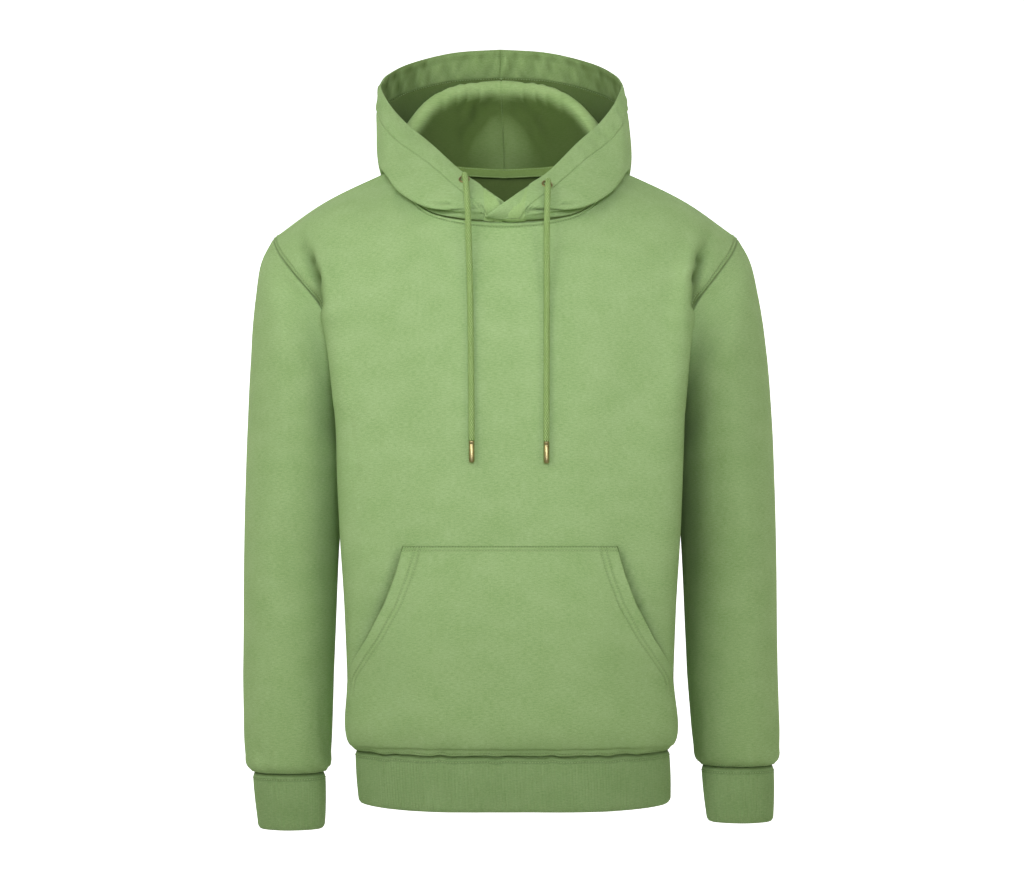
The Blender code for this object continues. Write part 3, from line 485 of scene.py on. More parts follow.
# turn in degrees times 1.2, and z: folds run round the arm
sleeveFolds = {
    "left": [
        (150, -150, 190, -250, 16, 3.0), (120, -230, 200, -300, 20, 2.2), (60, -300, 150, -345, 20, 1.4),
        (100, -390, 170, -420, 18, 1.8), (60, -436, 150, -470, 18, 1.6), (250, -400, 340, -440, 22, 1.8),
        (240, -300, 330, -260, 24, 1.8), (40, -620, 70, -640, 10, 1.4), (110, -616, 130, -642, 9, -1.3),
        (180, -600, 190, -644, 10, 1.2), (270, -606, 262, -644, 12, 1.2), (350, -600, 344, -646, 12, 1.0),
        (90, -520, 150, -560, 22, 1.0), (20, -200, 60, -330, 26, 0.9), (76, -112, 130, -190, 18, 4.0),
    ],
    "right": [
        (150, -150, 190, -250, 16, 3.0), (116, -226, 204, -292, 20, 2.2), (56, -290, 140, -350, 20, 1.2),
        (96, -400, 168, -440, 20, 2.0), (64, -452, 140, -476, 18, 1.3), (250, -410, 340, -436, 22, 1.8),
        (236, -310, 330, -256, 24, 1.8), (44, -628, 72, -652, 10, 1.5), (104, -624, 134, -652, 9, -1.4),
        (170, -600, 190, -650, 10, 1.2), (266, -612, 262, -652, 12, 1.2), (340, -606, 350, -652, 12, 1.0),
        (90, -530, 160, -560, 22, 1.1), (20, -210, 56, -320, 26, 0.9), (76, -116, 130, -190, 18, 4.4),
    ],
}


def sleeveGrid(label):
    lengthen = sleeveMeasures["lengthen"][label]
    turns = np.linspace(0, 360, sleeveMeasures["turns"], endpoint=False)
    rings = [armholeAt(turns)]
    for x, y, z, width, depth, tilt in sleeveSections:
        lower = z - lengthen * np.clip((z + 200) / -461, 0, 1)
        outward = np.array([math.cos(math.radians(tilt)), 0, math.sin(math.radians(tilt))])
        angle = np.radians(turns)[:, None]
        rings.append(np.array([x, y, lower]) + np.cos(angle) * width * outward
                     + np.sin(angle) * depth * np.array([0, -1, 0]))
    rings = np.array(rings)
    knots = runAlong(rings.mean(axis=1))
    fine = smooth(knots, rings.reshape(len(rings), -1), np.linspace(0, knots[-1], 500))
    fine = fine.reshape(500, len(turns), 3)
    return spreadColumns(fine, nearSeam, nearSeam, sleeveMeasures["rows"]), turns


def sleeve(label):
    m = sleeveMeasures
    mirror = 1 if label == "left" else -1
    grid, turns = sleeveGrid(label)
    out = gridNormals(grid, closed=True)
    if (out * (grid - grid.mean(axis=1, keepdims=True))).sum() < 0:
        out = -out
    top, cuff = edgeRuns(grid)[2:]
    places = np.stack([np.broadcast_to(turns * 1.2, top.shape), grid[..., 2]], axis=2)
    depth = folds(places, sleeveFolds[label]) + folds(places - (432, 0), sleeveFolds[label])
    depth *= eased(top / 16) * eased(cuff / 6)
    depth += groove(top, 0, 0.9, 1.3) + groove(cuff, 0, 1.3, 1.5) + groove(cuff, m["stitch"], 0.5)
    around = np.array([runAlong(line) for line in grid])
    depth -= ripple(around, 27, 1.7 + mirror) * groove(cuff, 9, 0.8, 8)
    apart = np.abs(turns - m["seam"])[None] / 180 * around[:, -1:] / 2
    depth += groove(apart, 0, 0.9, 1.8)
    outer = grid - out * depth[..., None]
    inner = outer - out * m["thick"]
    outer, inner, out = outer * (mirror, 1, 1), inner * (mirror, 1, 1), out * (mirror, 1, 1)
    line = (outer + out * 0.1)[-1 - nearSeam.index(m["stitch"])]
    # painted shade: darker towards the body, where the torso shades the sleeve, and in the seams
    shade = m["inward"][label] * eased((140 - np.abs(turns - m["seam"])) / 120)[None] * eased(top / 36)
    shade = shade * (0.45 + 0.55 * eased((cuff - 40) / 260))
    shade += groove(top, 0, 0.7, 1.4) + grooves(cuff, m["cuffShade"])
    name = "sleeve" + label.title()
    piece = cloth(name, lean(outer), lean(inner), (shade, 0 * shade), closed=True, grain="last")
    return piece, [np.vstack([line, line[:1]])]


# hood, in the order front tip, round the neck, centre back

hoodTable = np.array([
    # ridge, fold and rim points, then ridge turn, fold turn, bulge, rest
    (-19, -107, -53.5, -20, -109, -52.6, -21, -110, -51.4, 0, 0, 0, 0),
    (0, -107.5, -52, 0, -111, -46, 0, -112, -36, 0, 0, 1, 0),
    (23, -107, -49.5, 23, -112, -42, 26, -94, -16, 0, 0.5, 3, 0),
    (46, -103, -48, 47, -112, -44, 48, -70, 2, 1, 3, 6, 0),
    (82, -80, -36, 88, -97, -40, 82, -26, 38, 3.5, 5.5, 8, 2),
    (101, -50, -8, 119, -66, -23, 108, 8, 63, 4.5, 7, 8, 5),
    (107, -16, 22, 136, -32, -2, 127, 30, 87, 5, 8, 7, 8),
    (109, 16, 46, 143, 8, 8, 139, 60, 110, 5.5, 8.5, 5, 9),
    (103, 45, 69, 143, 46, 0, 140, 78, 119, 6, 8, 5, 8),
    (83, 73, 98, 132, 86, -20, 132, 92, 131, 6, 9, 7, 3),
    (56, 90, 115, 104, 114, -46, 106, 113, 147, 6, 10, 12, 0),
    (29, 97, 121, 60, 129, -69, 56, 132, 162, 6, 12, 18, 0),
    (0, 99, 123, 0, 134, -78, 0, 139, 167, 6, 13, 21, 0),
])
hoodNeckAt = np.array([-0.42, 0, 0.52, 1.05, 2.1, 3.1, 4, 5, 5.9, 6.9, 7.8, 8.9, 10])
hoodMeasures = {
    "rise": 1.2, "flapStep": 6.0, "flapUnder": 3.0, "flapFloor": -55.0, "fadeEnd": 62, "fade": 36,
    "plainTo": 3.4, "share": 0.6, "sections": 74, "steps": 104,
    "channel": 34.0, "gather": 1.6, "puff": 0.9, "backSeam": 1.2, "neckRoll": 0.8,
    "tucks": [(10, 3.0, 2.6), (5.5, -1.4, 2.6)],  # distance from the lower fold, depth, reach
    "thin": (1.4, 1.6, 1.9, 2.2), "tip": 1.6, "tipBehind": (0, 0.97, 0.25),
    "flapEdgeShadow": (-3.5, -35.5, -20, -51.5, 2.2, 0.8),
}


# how strong the painted shade on the hood is at each place, 0 to 1
hoodShade = {"hollow": 0.9, "channel": 0.36, "sides": 0.3, "gathers": 0.22, "rimRoll": 0.25, "centre": 0.23,
             "dents": 0.05, "seam": 0.4, "tuck": 0.5}


def hoodSection(neckPoint, ridge, fold, rim, ridgeTurn, foldTurn, bulge, rest, count):
    out = np.array([fold[0], fold[1], 0.0])
    out /= np.linalg.norm(out)
    up = np.array([0, 0, 1.0])
    control = np.array([
        neckPoint,
        neckPoint + (ridge - neckPoint) * 0.35 - out * 0.3 * ridgeTurn,
        neckPoint + (ridge - neckPoint) * 0.75 - out * 0.8 * ridgeTurn,
        ridge - out * ridgeTurn,
        ridge + out * ridgeTurn,
        ridge + (fold - ridge) * 0.3 + out * (0.7 * ridgeTurn - 0.5 * foldTurn) + up * 0.3 * rest,
        ridge + (fold - ridge) * 0.7 + out * (0.3 * ridgeTurn - 1.2 * foldTurn) + up * 0.8 * rest,
        fold - out * 1.7 * foldTurn + up * (0.5 * foldTurn + 0.8 * rest),
        fold - out * 0.9 * foldTurn + up * (0.5 * rest - 0.5 * foldTurn),
        fold + up * 0.3 * foldTurn,
        fold + (rim - fold) * 0.30 + out * 0.8 * bulge,
        fold + (rim - fold) * 0.62 + out * bulge,
        rim - (rim - fold) * 0.10 + out * 0.3 * bulge,
        rim,
    ])
    return splineThrough(control, count)


def hoodGrid(mirror, places, steps):
    m = hoodMeasures
    knots = np.arange(len(hoodTable), dtype=float)
    rows = smooth(knots, hoodTable, places)
    neckPlaces = np.interp(places, knots, hoodNeckAt)
    necks = neckAt(np.abs(neckPlaces))
    necks[:, 0] *= np.where(neckPlaces < 0, -1, 1)
    necks[:, 2] += m["rise"]
    grid = np.array([
        hoodSection(point, row[0:3] + (0, 0, m["rise"]), row[3:6], row[6:9], *row[9:13], steps)
        for point, row in zip(necks, rows)
    ])
    if mirror > 0:  # the wearer's left flap crosses over the right one
        near = eased((m["fadeEnd"] - grid[..., 0]) / m["fade"]) * (grid[..., 1] < 0)
        grid[..., 1] -= m["flapStep"] * near * np.clip(0.2 + 6 * np.linspace(0, 1, steps), 0, 1)
        # beyond the centre its end is tucked up, above the seam
        tucked = eased((3 - grid[..., 0]) / 5) * near
        floorAt = m["flapFloor"] - 0.12 * grid[..., 0]
        grid[..., 2] += np.maximum(floorAt - grid[..., 2], 0) * tucked
    else:  # the end under it lies further in
        beyond = eased((8 - grid[..., 0]) / 10) * (grid[..., 1] < 0)
        grid[..., 1] += m["flapUnder"] * beyond
    grid[-1, :, 0] = -0.02
    grid[..., 0] *= mirror
    return grid


def roomBehind(points, behind, surface):
    # the largest ball that the surface leaves behind each point
    cloud = surface.reshape(-1, 3)
    room = np.empty(points.shape[:2])
    for row in range(len(points)):
        apart = cloud[None] - points[row][:, None]
        deep = (apart * behind[row][:, None]).sum(axis=2)
        square = (apart ** 2).sum(axis=2)
        ball = np.where((deep > 1e-6) & (square > 0.64), square / (2 * np.maximum(deep, 1e-6)), np.inf)
        room[row] = ball.min(axis=1)
    return room


# distance from the centre back along the rim, distance from the rim, reach, depth
hoodFolds = {
    "left": [
        (30, 8, 36, 24, 7, 1.0), (62, 6, 58, 25, 6, -0.8), (96, 5, 92, 26, 6, 1.2),
        (120, 4, 126, 26, 5, -1.0), (140, 4, 140, 26, 5, 1.3), (160, 60, 120, 120, 20, 2.0),
        (200, 40, 230, 90, 16, 1.6), (60, 60, 40, 150, 26, 1.5), (250, 30, 300, 60, 14, 1.0),
        (110, 190, 80, 230, 18, -1.6),
    ],
    "right": [
        (26, 7, 30, 25, 7, 0.9), (54, 6, 60, 25, 6, 1.0), (92, 5, 96, 26, 6, -0.9), (124, 5, 120, 26, 5, 1.4),
        (142, 4, 148, 26, 5, -1.1), (160, 4, 158, 26, 6, 1.2), (170, 64, 128, 126, 20, 2.0),
        (206, 44, 236, 88, 16, 1.5), (66, 60, 48, 156, 26, 1.4), (256, 32, 300, 56, 14, 1.0),
    ],
}
# distance from the centre back, distance from the neck seam: folds of the wall behind the head
wallFolds = {
    "left": [
        (0, 74, 40, 76, 15, 4.2), (40, 76, 78, 52, 15, 4.6), (78, 52, 104, 24, 14, 3.0),
        (20, 30, 50, 24, 16, -1.6), (60, 96, 96, 78, 8, 2.0),
    ],
    "right": [
        (0, 72, 26, 80, 14, 4.2), (26, 80, 58, 66, 14, 5.2), (58, 66, 92, 40, 14, 4.4),
        (30, 34, 66, 26, 16, -1.8), (72, 92, 100, 70, 9, 2.6),
    ],
}


def hoodHalf(label):
    m = hoodMeasures
    mirror = 1 if label == "left" else -1
    count = len(hoodTable) - 1
    seam = [0, 0.8, 1.6, 2.4, 3.2, 4.2, 5.5, 7.5, 10.5]
    rim = [0, 0.8, 1.8, 3.2, 5, 8, 11.5, 15, 18.5, 22, 25.5, 29,
           31.6, 32.6, 33.3, 34, 34.7, 35.4, 36.4, 38, 41]
    places = np.concatenate([np.linspace(0, 1, 10, endpoint=False), np.linspace(1, count, 241)])
    fine = hoodGrid(mirror, places, 301)
    grid = spreadRows(fine, nearSeam[:-3], rim, m["steps"])
    # sections: even along the rim, closer at the centre-back seam
    rimRun = runAlong(grid[:, -1])
    at = np.concatenate([np.linspace(0, rimRun[-1] - seam[-1], m["sections"]),
                         rimRun[-1] - np.array(seam[-2::-1])])
    grid = np.array([pointsAt(at, rimRun, line) for line in grid.transpose(1, 0, 2)]).transpose(1, 0, 2)
    tablePlaces = np.interp(at, rimRun, places)
    behind = mirror * gridNormals(grid)
    coarse = hoodGrid(mirror, np.linspace(0, count, 67), 70)
    flap = np.clip(m["plainTo"] - tablePlaces, 0, 1)[:, None, None]
    behind = unit(behind * (1 - flap) + behind.mean(axis=1, keepdims=True) * flap)
    tip = np.clip(m["tip"] - tablePlaces, 0, 1)[:, None, None]
    behind = unit(behind * (1 - tip) + np.array(m["tipBehind"]) * tip)
    thick = np.interp(tablePlaces, (0, 1, 2, 3), m["thin"])[:, None]
    room = roomBehind(grid, behind, coarse)
    thick = np.where(flap[..., 0] > 0.4, thick, np.minimum(thick, m["share"] * room))
    fromNeck = np.array([runAlong(line) for line in grid])
    fromRim = fromNeck[:, -1:] - fromNeck
    fromBack = (at[-1] - at)[:, None] + 0 * fromRim
    flat = np.stack([fromBack, fromRim], axis=2)
    lowest = np.array([row[10:-10, 2].argmin() + 10 for row in grid])
    highest = np.array([row[:low + 1, 2].argmax() for row, low in zip(grid, lowest)])
    rowsAt = np.arange(len(grid))
    fromFold = fromNeck - fromNeck[rowsAt, lowest][:, None]
    fromRidge = fromNeck - fromNeck[rowsAt, highest][:, None]
    depth = folds(flat, hoodFolds[label]) * eased(fromRim / 3) * eased(fromNeck / 10) * eased(fromBack / 6)
    dents = folds(np.stack([fromBack, fromNeck], axis=2), wallFolds[label]) * eased(fromBack / 4 + 0.4)
    depth -= dents
    depth *= 1 - 0.6 * flap[..., 0]
    # tucks above the lower fold, and gathers in the channel
    onTuck = eased((tablePlaces - 1.7) / 0.5) * eased((3.9 - tablePlaces) / 0.7)
    depth += grooves(fromFold, m["tucks"]) * onTuck[:, None]
    inChannel = eased(fromRim / 4) * eased((m["channel"] - fromRim) / 5)
    pulled = ripple(fromBack + 0.35 * fromRim, 23, 1.9 + mirror)
    pulled += 0.6 * ripple(fromBack - 0.2 * fromRim, 9.5, 3.1)
    depth += m["gather"] * pulled * inChannel * (1 - flap[..., 0]) * eased(fromBack / 12)
    puff = m["puff"] * np.sin(math.pi * np.clip(fromRim / m["channel"], 0, 1)) ** 0.6
    stitch = groove(fromRim, m["channel"], 0.8, 1.1)
    backSeam = groove(fromBack, 0, m["backSeam"], 1.6)
    neckRoll = groove(fromNeck, 0, m["neckRoll"], 1.5)
    outer = grid + behind * (depth - puff + stitch + backSeam + neckRoll)[..., None]
    insidePuff = puff * (0.5 + 1.3 * (1 - flap[..., 0]))
    inner = grid + behind * (thick + depth + (insidePuff - stitch - backSeam * 0.8)
                             * (thick > 1.8))[..., None]
    inner[-1, :, 0] = outer[-1, :, 0] = grid[-1, :, 0]
    column = -1 - rim.index(m["channel"])
    lines = [(outer - behind * 0.1)[:, column], (inner + behind * 0.1)[:-3, column]]
    # painted shade on the inside: darker below the ridge, in the hollow behind it and between the gathers
    s, seamShade = hoodShade, groove(fromRim, m["channel"], hoodShade["seam"])
    hollow = s["hollow"] * eased((fromRidge - 9) / 12) * eased((fromRim - m["channel"] + 3) / 5)
    channel = s["channel"] + s["sides"] * eased((fromBack - 60) / 70) + s["gathers"] * pulled * inChannel
    channel = np.maximum(channel + groove(fromRim, 6.5, s["rimRoll"], 1.6), hollow)
    under = eased((-fromRidge - 6) / 20) * (1 - groove(fromBack, 0, s["centre"], 56)) + s["dents"] * dents
    inside = np.where(fromRidge < 0, under, np.where(fromRim < m["channel"] + 3, channel, hollow))
    inside = inside * (1 - flap[..., 0]) + seamShade
    # painted shade outside, along the channel's stitch and at the tuck
    outside = seamShade + groove(fromFold, 10, s["tuck"], 2.2) * onTuck[:, None]
    if mirror < 0:  # the crossing flap lies on this one, and a shadow of its edge is painted on it
        outside += folds(grid[..., (0, 2)], [m["flapEdgeShadow"]]) * (grid[..., 1] < 0)
    return cloth("hood" + label.title(), lean(outer), lean(inner), (outside, inside), grain="turned"), lines


# ribbed bands

ribMeasures = {
    "pitch": 3.4, "perRib": 6, "thick": 2.6, "belly": 0.8, "rollIn": 1.2, "tall": 0.0006, "uneven": 0.35,
    "steps": np.concatenate([[0, 0.012, 0.03, 0.055, 0.085], np.linspace(0.13, 0.93, 11), [0.965, 0.985, 1]]),
    "stitchStep": 4,
}
hemMeasures = {"gap": 0.4, "low": -701.4, "draw": 1.2, "corner": 3.5, "cornerAt": 178}
cuffMeasures = {"gap": 0.4, "tall": 62, "narrow": (36.8 / 40.5, 25.5 / 29.0, 1)}


def ringOutward(ring):
    along = np.roll(ring, -1, axis=0) - np.roll(ring, 1, axis=0)
    along[0] = along[-1] = ring[1] - ring[-2]
    out = unit(np.column_stack([along[:, 1], -along[:, 0], np.zeros(len(ring))]))
    return out if ((ring - ring[:-1].mean(axis=0)) * out).sum() > 0 else -out


def evenRing(ring, count):
    run = runAlong(ring)
    at = np.linspace(0, run[-1], count, endpoint=False)
    return pointsAt(at, run, ring), at


def ribBand(name, top, bottom):
    # a plain doubled band; the ribs are raised on it afterwards
    m = ribMeasures
    length = runAlong(top)[-1]
    ribs = round(length / m["pitch"])
    count = ribs * m["perRib"]
    upper, run = evenRing(top, count)
    lower = evenRing(bottom, count)[0]
    closedUpper = np.vstack([upper, upper[:1]])
    out = ringOutward(closedUpper)[:-1]
    rows, steps = [], m["steps"]
    for part in steps:
        ring = upper + (lower - upper) * part
        rolled = -math.exp(-(part / 0.035) ** 2) - math.exp(-((1 - part) / 0.03) ** 2)
        ring = ring + out * m["belly"] * math.sin(math.pi * part) + out * m["rollIn"] * rolled
        ring = ring + out * (0.5 * ripple(run, 60, 2.6) * part)[:, None]
        rows.append(ring)
    outer = np.array(rows)
    inner = outer - out[None] * m["thick"]
    stitchAt = m["stitchStep"]
    # painted shade along the seam at the band's top and along the row of stitches
    seam = groove(steps, 0, 0.9, 0.03) + groove(steps, steps[stitchAt], 0.5, 0.015)
    seam = seam[:, None] + np.zeros(count)
    piece = cloth(name, lean(outer), lean(inner), (seam, 0 * seam), closed=True)
    # the run round the band, and how much rib each point carries
    points = np.array([vertex.co for vertex in piece.data.vertices], float) / mm
    flatOuter = lean(outer).reshape(-1, 3)
    keys = {tuple(np.round(point, 3)): index for index, point in enumerate(flatOuter)}
    runValue, carry = np.zeros(len(points)), np.zeros(len(points))
    for index, point in enumerate(points):
        found = keys.get(tuple(np.round(point, 3)))
        if found is not None:
            runValue[index] = run[found % count] / length * ribs
            part = steps[found // count]
            carry[index] = eased((part - 0.02) / 0.1) * eased((1 - part) / 0.05)
    pointValues(piece, "ribTurn", runValue)
    pointValues(piece, "ribCarry", carry)
    line = outer[stitchAt] + out * 0.6
    return piece, [np.vstack([line, line[:1]])]


def hemBand():
    m = hemMeasures
    across = np.linspace(-1, 1, 161)
    front, back = (panel(f, across, np.array([0.0]))[0] for f in (True, False))
    front[:, 2] += hemWave(front[:, 0], True)
    back[:, 2] += hemWave(back[:, 0], False)
    loop = np.vstack([front, back[-2::-1]])
    low = loop - ringOutward(loop) * m["draw"]
    # the lower corners are drawn up a little towards the side seams
    low[:, 2] = m["low"] + m["corner"] * (np.abs(low[:, 0]) / m["cornerAt"]) ** 6
    return ribBand("hemBand", loop - (0, 0, m["gap"]), low)


def cuff(label, seam):
    m = cuffMeasures
    ring = np.vstack([seam, seam[:1]]) * (1 if label == "left" else -1, 1, 1)
    centre = ring[:-1].mean(axis=0)
    top = ring.copy()
    top[:, 2] = centre[2] - m["gap"]
    low = centre + (ring - centre) * m["narrow"]
    low[:, 2] = centre[2] - m["tall"] - m["gap"]
    return ribBand("cuff" + label.title(), top, low)


# pocket

pocketOutline = np.array([
    # height, half width along the cloth
    (-634, 200.0), (-600, 200.0), (-557, 191.0), (-540, 178.0), (-512, 157.5), (-474, 137.0),
    (-442, 125.5), (-412, 118.0),
])
pocketMeasures = {
    "gap": 0.5, "slack": 13.5, "gape": 8.5, "low": -557, "high": -412, "thick": 2.2, "turned": 0.7,
    "across": 88, "up": 44, "opening": (15, 20.9), "top": (1.4, 4.9), "side": 2.4, "sewnBelow": 18,
}
pocketFolds = [
    (-70, -440, -20, -600, 34, 1.2), (60, -430, 90, -590, 34, 1.1), (-120, -520, -80, -610, 22, -1.0),
    (0, -560, 60, -620, 26, -0.8),
]


def pocket():
    m = pocketMeasures
    across, along = np.linspace(-1, 1, 321), np.linspace(0.02, 0.325, 121)
    full = panel(True, across, along)
    heights = full[:, 160, 2]
    part = np.linspace(-1, 1, 241)
    points = []
    for row, height in zip(full, heights):
        half = np.interp(height, pocketOutline[:, 0], pocketOutline[:, 1])
        run = runAlong(row[160:])
        reach = min(0.76, np.interp(half, run, across[160:]))
        points.append(pointsAt(part * reach, across, row))
    points = np.array(points)
    up = (heights - heights[0]) / (heights[-1] - heights[0])
    opened = np.clip((heights - m["low"]) / (m["high"] - m["low"]), 0, 1)
    gape = m["gape"] * np.sin(math.pi * opened)[:, None]
    puff = m["slack"] * (np.sin(math.pi * up) ** 0.7)[:, None]
    inside = 1 - np.abs(part) ** 4
    under = points + gridNormals(points) * (m["gap"] + gape * (1 - inside) + puff * inside)[..., None]
    seam = [0, 0.8, 1.6, 2.4, 3.4, 5, 7, 10, 13, 14.2, 15, 15.8, 16.8, 18.4, 20, 20.9, 21.7, 22.6, 24.5, 28]
    under = spreadRows(under, seam, seam, m["across"])
    under = spreadColumns(under, nearSeam[:12], nearSeam[:12], m["up"])
    out = gridNormals(under)
    left, right, low, high = edgeRuns(under)
    side = np.minimum(left, right)
    opening = eased((under[..., 2] - m["low"]) / 10)
    sewn = eased((under[..., 2] - m["low"] + m["sewnBelow"] + 2) / 12)
    depth = groove(high, m["top"][0], 0.5) + groove(high, m["top"][1], 0.35)
    for at in m["opening"]:
        depth += groove(side, at, 0.6, 1.1) * sewn
    depth += groove(side, m["side"], 0.6) * (1 - opening)
    depth -= ripple(under[..., 2], 38, 0.7) * groove(side, 8, 0.6, 7) * opening
    depth -= ripple(under[..., 0], 52, 2.9) * groove(high, 10, 0.5, 9)
    depth -= ripple(under[..., 0], 46, 1.3) * groove(low, 4, 1.0, 9)
    depth += folds(under[..., (0, 2)], pocketFolds) * eased(side / 20) * eased(high / 18) * eased(low / 16)
    hemmed = eased(side / 2) * eased((17 - side) / 3) * opening + eased(high / 1.5) * eased((9 - high) / 2)
    face = under + out * (m["thick"] - depth + m["turned"] * np.minimum(hemmed, 1))[..., None]
    # the edges turn over and lie down
    face -= out * (groove(side, 0, m["turned"], 1.2) + groove(high, 0, m["turned"], 1.2))[..., None]
    top = face + out * 0.1
    lines = [top[-1 - nearSeam.index(at), 3:-3] for at in m["top"]]
    for at in m["opening"]:
        column = seam.index(at)
        rows = under[:, column, 2] > m["low"] - m["sewnBelow"]
        lines += [top[rows, column], top[rows, -1 - column]]
    for column in (seam.index(m["side"]), -1 - seam.index(m["side"])):
        lines.append(top[under[:, column, 2] < m["low"], column])
    # painted shade along the stitches and at the pocket's edges
    shade = groove(high, m["top"][0], 0.5) + groove(high, m["top"][1], 0.4)
    shade += sum(groove(side, at, 0.4, 0.9) for at in m["opening"]) * sewn
    shade += groove(side, m["side"], 0.3) * (1 - opening)
    shade += groove(high, 0, 0.5, 1.2) + groove(side, 0, 0.75, 1.3)
    return cloth("pocketPouch", lean(face), lean(under), (shade, 0 * shade)), lines


# neck tape

tapeMeasures = {"from": 5.6, "top": 2.5, "tall": 10, "rows": 13, "clear": 3.2, "flare": 0.6, "thick": 1.0,
                "stitchAt": (1.3, -6.3), "stitch": 0.3}


def neckTape():
    m = tapeMeasures
    end = len(neck) - 1
    places = np.linspace(m["from"], 2 * end - m["from"], 121)
    line = neckAt(end - np.abs(places - end))
    line[:, 0] *= np.where(places > end, -1, 1)
    inward = -line * (1, 1, 0) / np.linalg.norm(line[:, :2], axis=1, keepdims=True)
    rows = np.linspace(m["top"], m["top"] - m["tall"], m["rows"])
    clear = m["clear"] + m["flare"] * (rows - rows[-1]) / m["tall"]
    near = np.array([line + inward * apart + (0, 0, row) for row, apart in zip(rows, clear)])
    dip = sum(groove(rows, at, m["stitch"], 0.8) for at in m["stitchAt"])
    far = near + inward[None] * (m["thick"] - dip)[:, None, None]
    lines = [far[row] + inward * 0.1 for row in (1, -2)]
    return cloth("neckTape", lean(far), lean(near), np.zeros((2, *far.shape[:2]))), lines


# trims

def turnedMesh(name, profile, base, axis, sides):
    across = unit(np.cross(axis, (1.0, 0.0, 0.0)))
    third = np.cross(axis, across)
    vertices, faces, rings = [], [], []
    for radius, height in profile:
        centre = np.array(base) + axis * height
        angles = np.linspace(0, 2 * math.pi, sides, endpoint=False) if radius > 0 else [0.0]
        rings.append(list(range(len(vertices), len(vertices) + len(angles))))
        vertices.extend(centre + radius * (math.cos(a) * across + math.sin(a) * third) for a in angles)
    if profile[0][0] > 0:  # open in the middle, so the last ring meets the first
        rings.append(rings[0])
    for low, high in zip(rings, rings[1:]):
        for side in range(sides):
            right = (side + 1) % sides
            corners = [low[side % len(low)], low[right % len(low)],
                       high[right % len(high)], high[side % len(high)]]
            faces.append(tuple(dict.fromkeys(corners)))
    piece = makePiece(name, vertices, faces)
    piece.data.set_sharp_from_angle(angle=math.radians(40))
    return piece


eyeletMeasures = {"hole": 0.0039, "outer": 0.00625, "tall": 0.0016, "sides": 48, "sunk": 0.0002}
tipMeasures = {"radius": 0.0031, "length": 0.024, "sides": 32, "below": 0.0003}


def eyelet(label):
    hole, outer, tall, sides, sunk = eyeletMeasures.values()
    start, onward = np.array(cordRoutes[label][:2])
    axis = unit(onward - start)
    profile = [(hole, 0.0)]
    for turn in np.linspace(math.pi, 0, 13):  # the rolled flange
        profile.append(((hole + outer) / 2 + (outer - hole) / 2 * math.cos(turn),
                        tall * 0.35 + tall * 0.65 * math.sin(turn) ** 0.8))
    profile.append((outer, 0.0))
    return turnedMesh("eyelet" + label.title(), profile, start - axis * sunk, axis, sides)


def tipEnd(label):
    r, length, sides, below = tipMeasures.values()
    beforeEnd, end = np.array(cordRoutes[label][-2:])
    axis = unit(end - beforeEnd)
    profile = [(0, 0.0), (r * 0.86, 0.0), (r * 0.98, 0.0004), (r, 0.0010), (r, 0.0030), (r * 0.9, 0.0035),
               (r * 0.9, 0.0041), (r, 0.0046), (r, length - 0.0030), (r * 0.97, length - 0.0017),
               (r * 0.86, length - 0.0007), (r * 0.6, length - 0.0001), (0, length)]
    return turnedMesh("tip" + label.title(), profile, end + axis * below, axis, sides)


def cordTube(label):
    m, sides = cordMeasures, cordMeasures["sides"]
    route = np.array(cordRoutes[label])
    run = runAlong(route)
    count = int(run[-1] / m["step"])
    path = smooth(run, route, np.linspace(0, run[-1], count))
    along = unit(np.gradient(path, axis=0))
    side = unit(np.cross(along, (0.0, 1.0, 0.0)))
    third = np.cross(along, side)
    angle = np.linspace(0, 2 * math.pi, sides, endpoint=False)
    at = np.linspace(0, run[-1], count)[:, None] / m["lay"]
    # strands wind both ways and take turns to lie on top
    a, b = m["strands"] * angle / (2 * math.pi) + at, m["strands"] * angle / (2 * math.pi) - at
    over = (np.floor(a) + np.floor(b)) % 2
    crossA, crossB = np.cos(math.pi * (a % 1 - 0.5)), np.cos(math.pi * (b % 1 - 0.5))
    height = np.where(over > 0, crossA * (0.75 + 0.25 * crossB), crossB * (0.75 + 0.25 * crossA))
    squeeze = 1 - m["squeeze"] * (1 - eased((at * m["lay"] - 0.006) / 0.014))
    radius = m["thick"] / 2 * squeeze * (1 - m["relief"] + 1.2 * m["relief"] * height)
    points = (path[:, None] + radius[..., None] * (np.cos(angle)[None, :, None] * side[:, None]
                                                    + np.sin(angle)[None, :, None] * third[:, None]))
    vertices = list(points.reshape(-1, 3)) + [path[0], path[-1]]
    faces = []
    for first in range(0, (count - 1) * sides, sides):
        for one in range(first, first + sides):
            two = first + (one + 1 - first) % sides
            faces.append((one, two, two + sides, one + sides))
    for end, base in ((count * sides, 0), (count * sides + 1, (count - 1) * sides)):
        for one in range(sides):
            faces.append((end, base + one, base + (one + 1) % sides))
    u = np.broadcast_to(angle[None] / (2 * math.pi) * m["round"], points.shape[:2])
    v = np.broadcast_to(at * m["lay"], points.shape[:2])
    uv = np.vstack([np.stack([u, v], axis=2).reshape(-1, 2), [[0, 0], [0, 0]]])
    piece = makePiece("cord" + label.title(), vertices, faces, uv)
    # painted shade: the braid is darkened where its strands go under
    pointValues(piece, "shade", np.append(1 - eased(height).ravel(), [0.5, 0.5]))
    return piece, path, run[-1]


# node maths: a socket that adds, subtracts, multiplies and divides

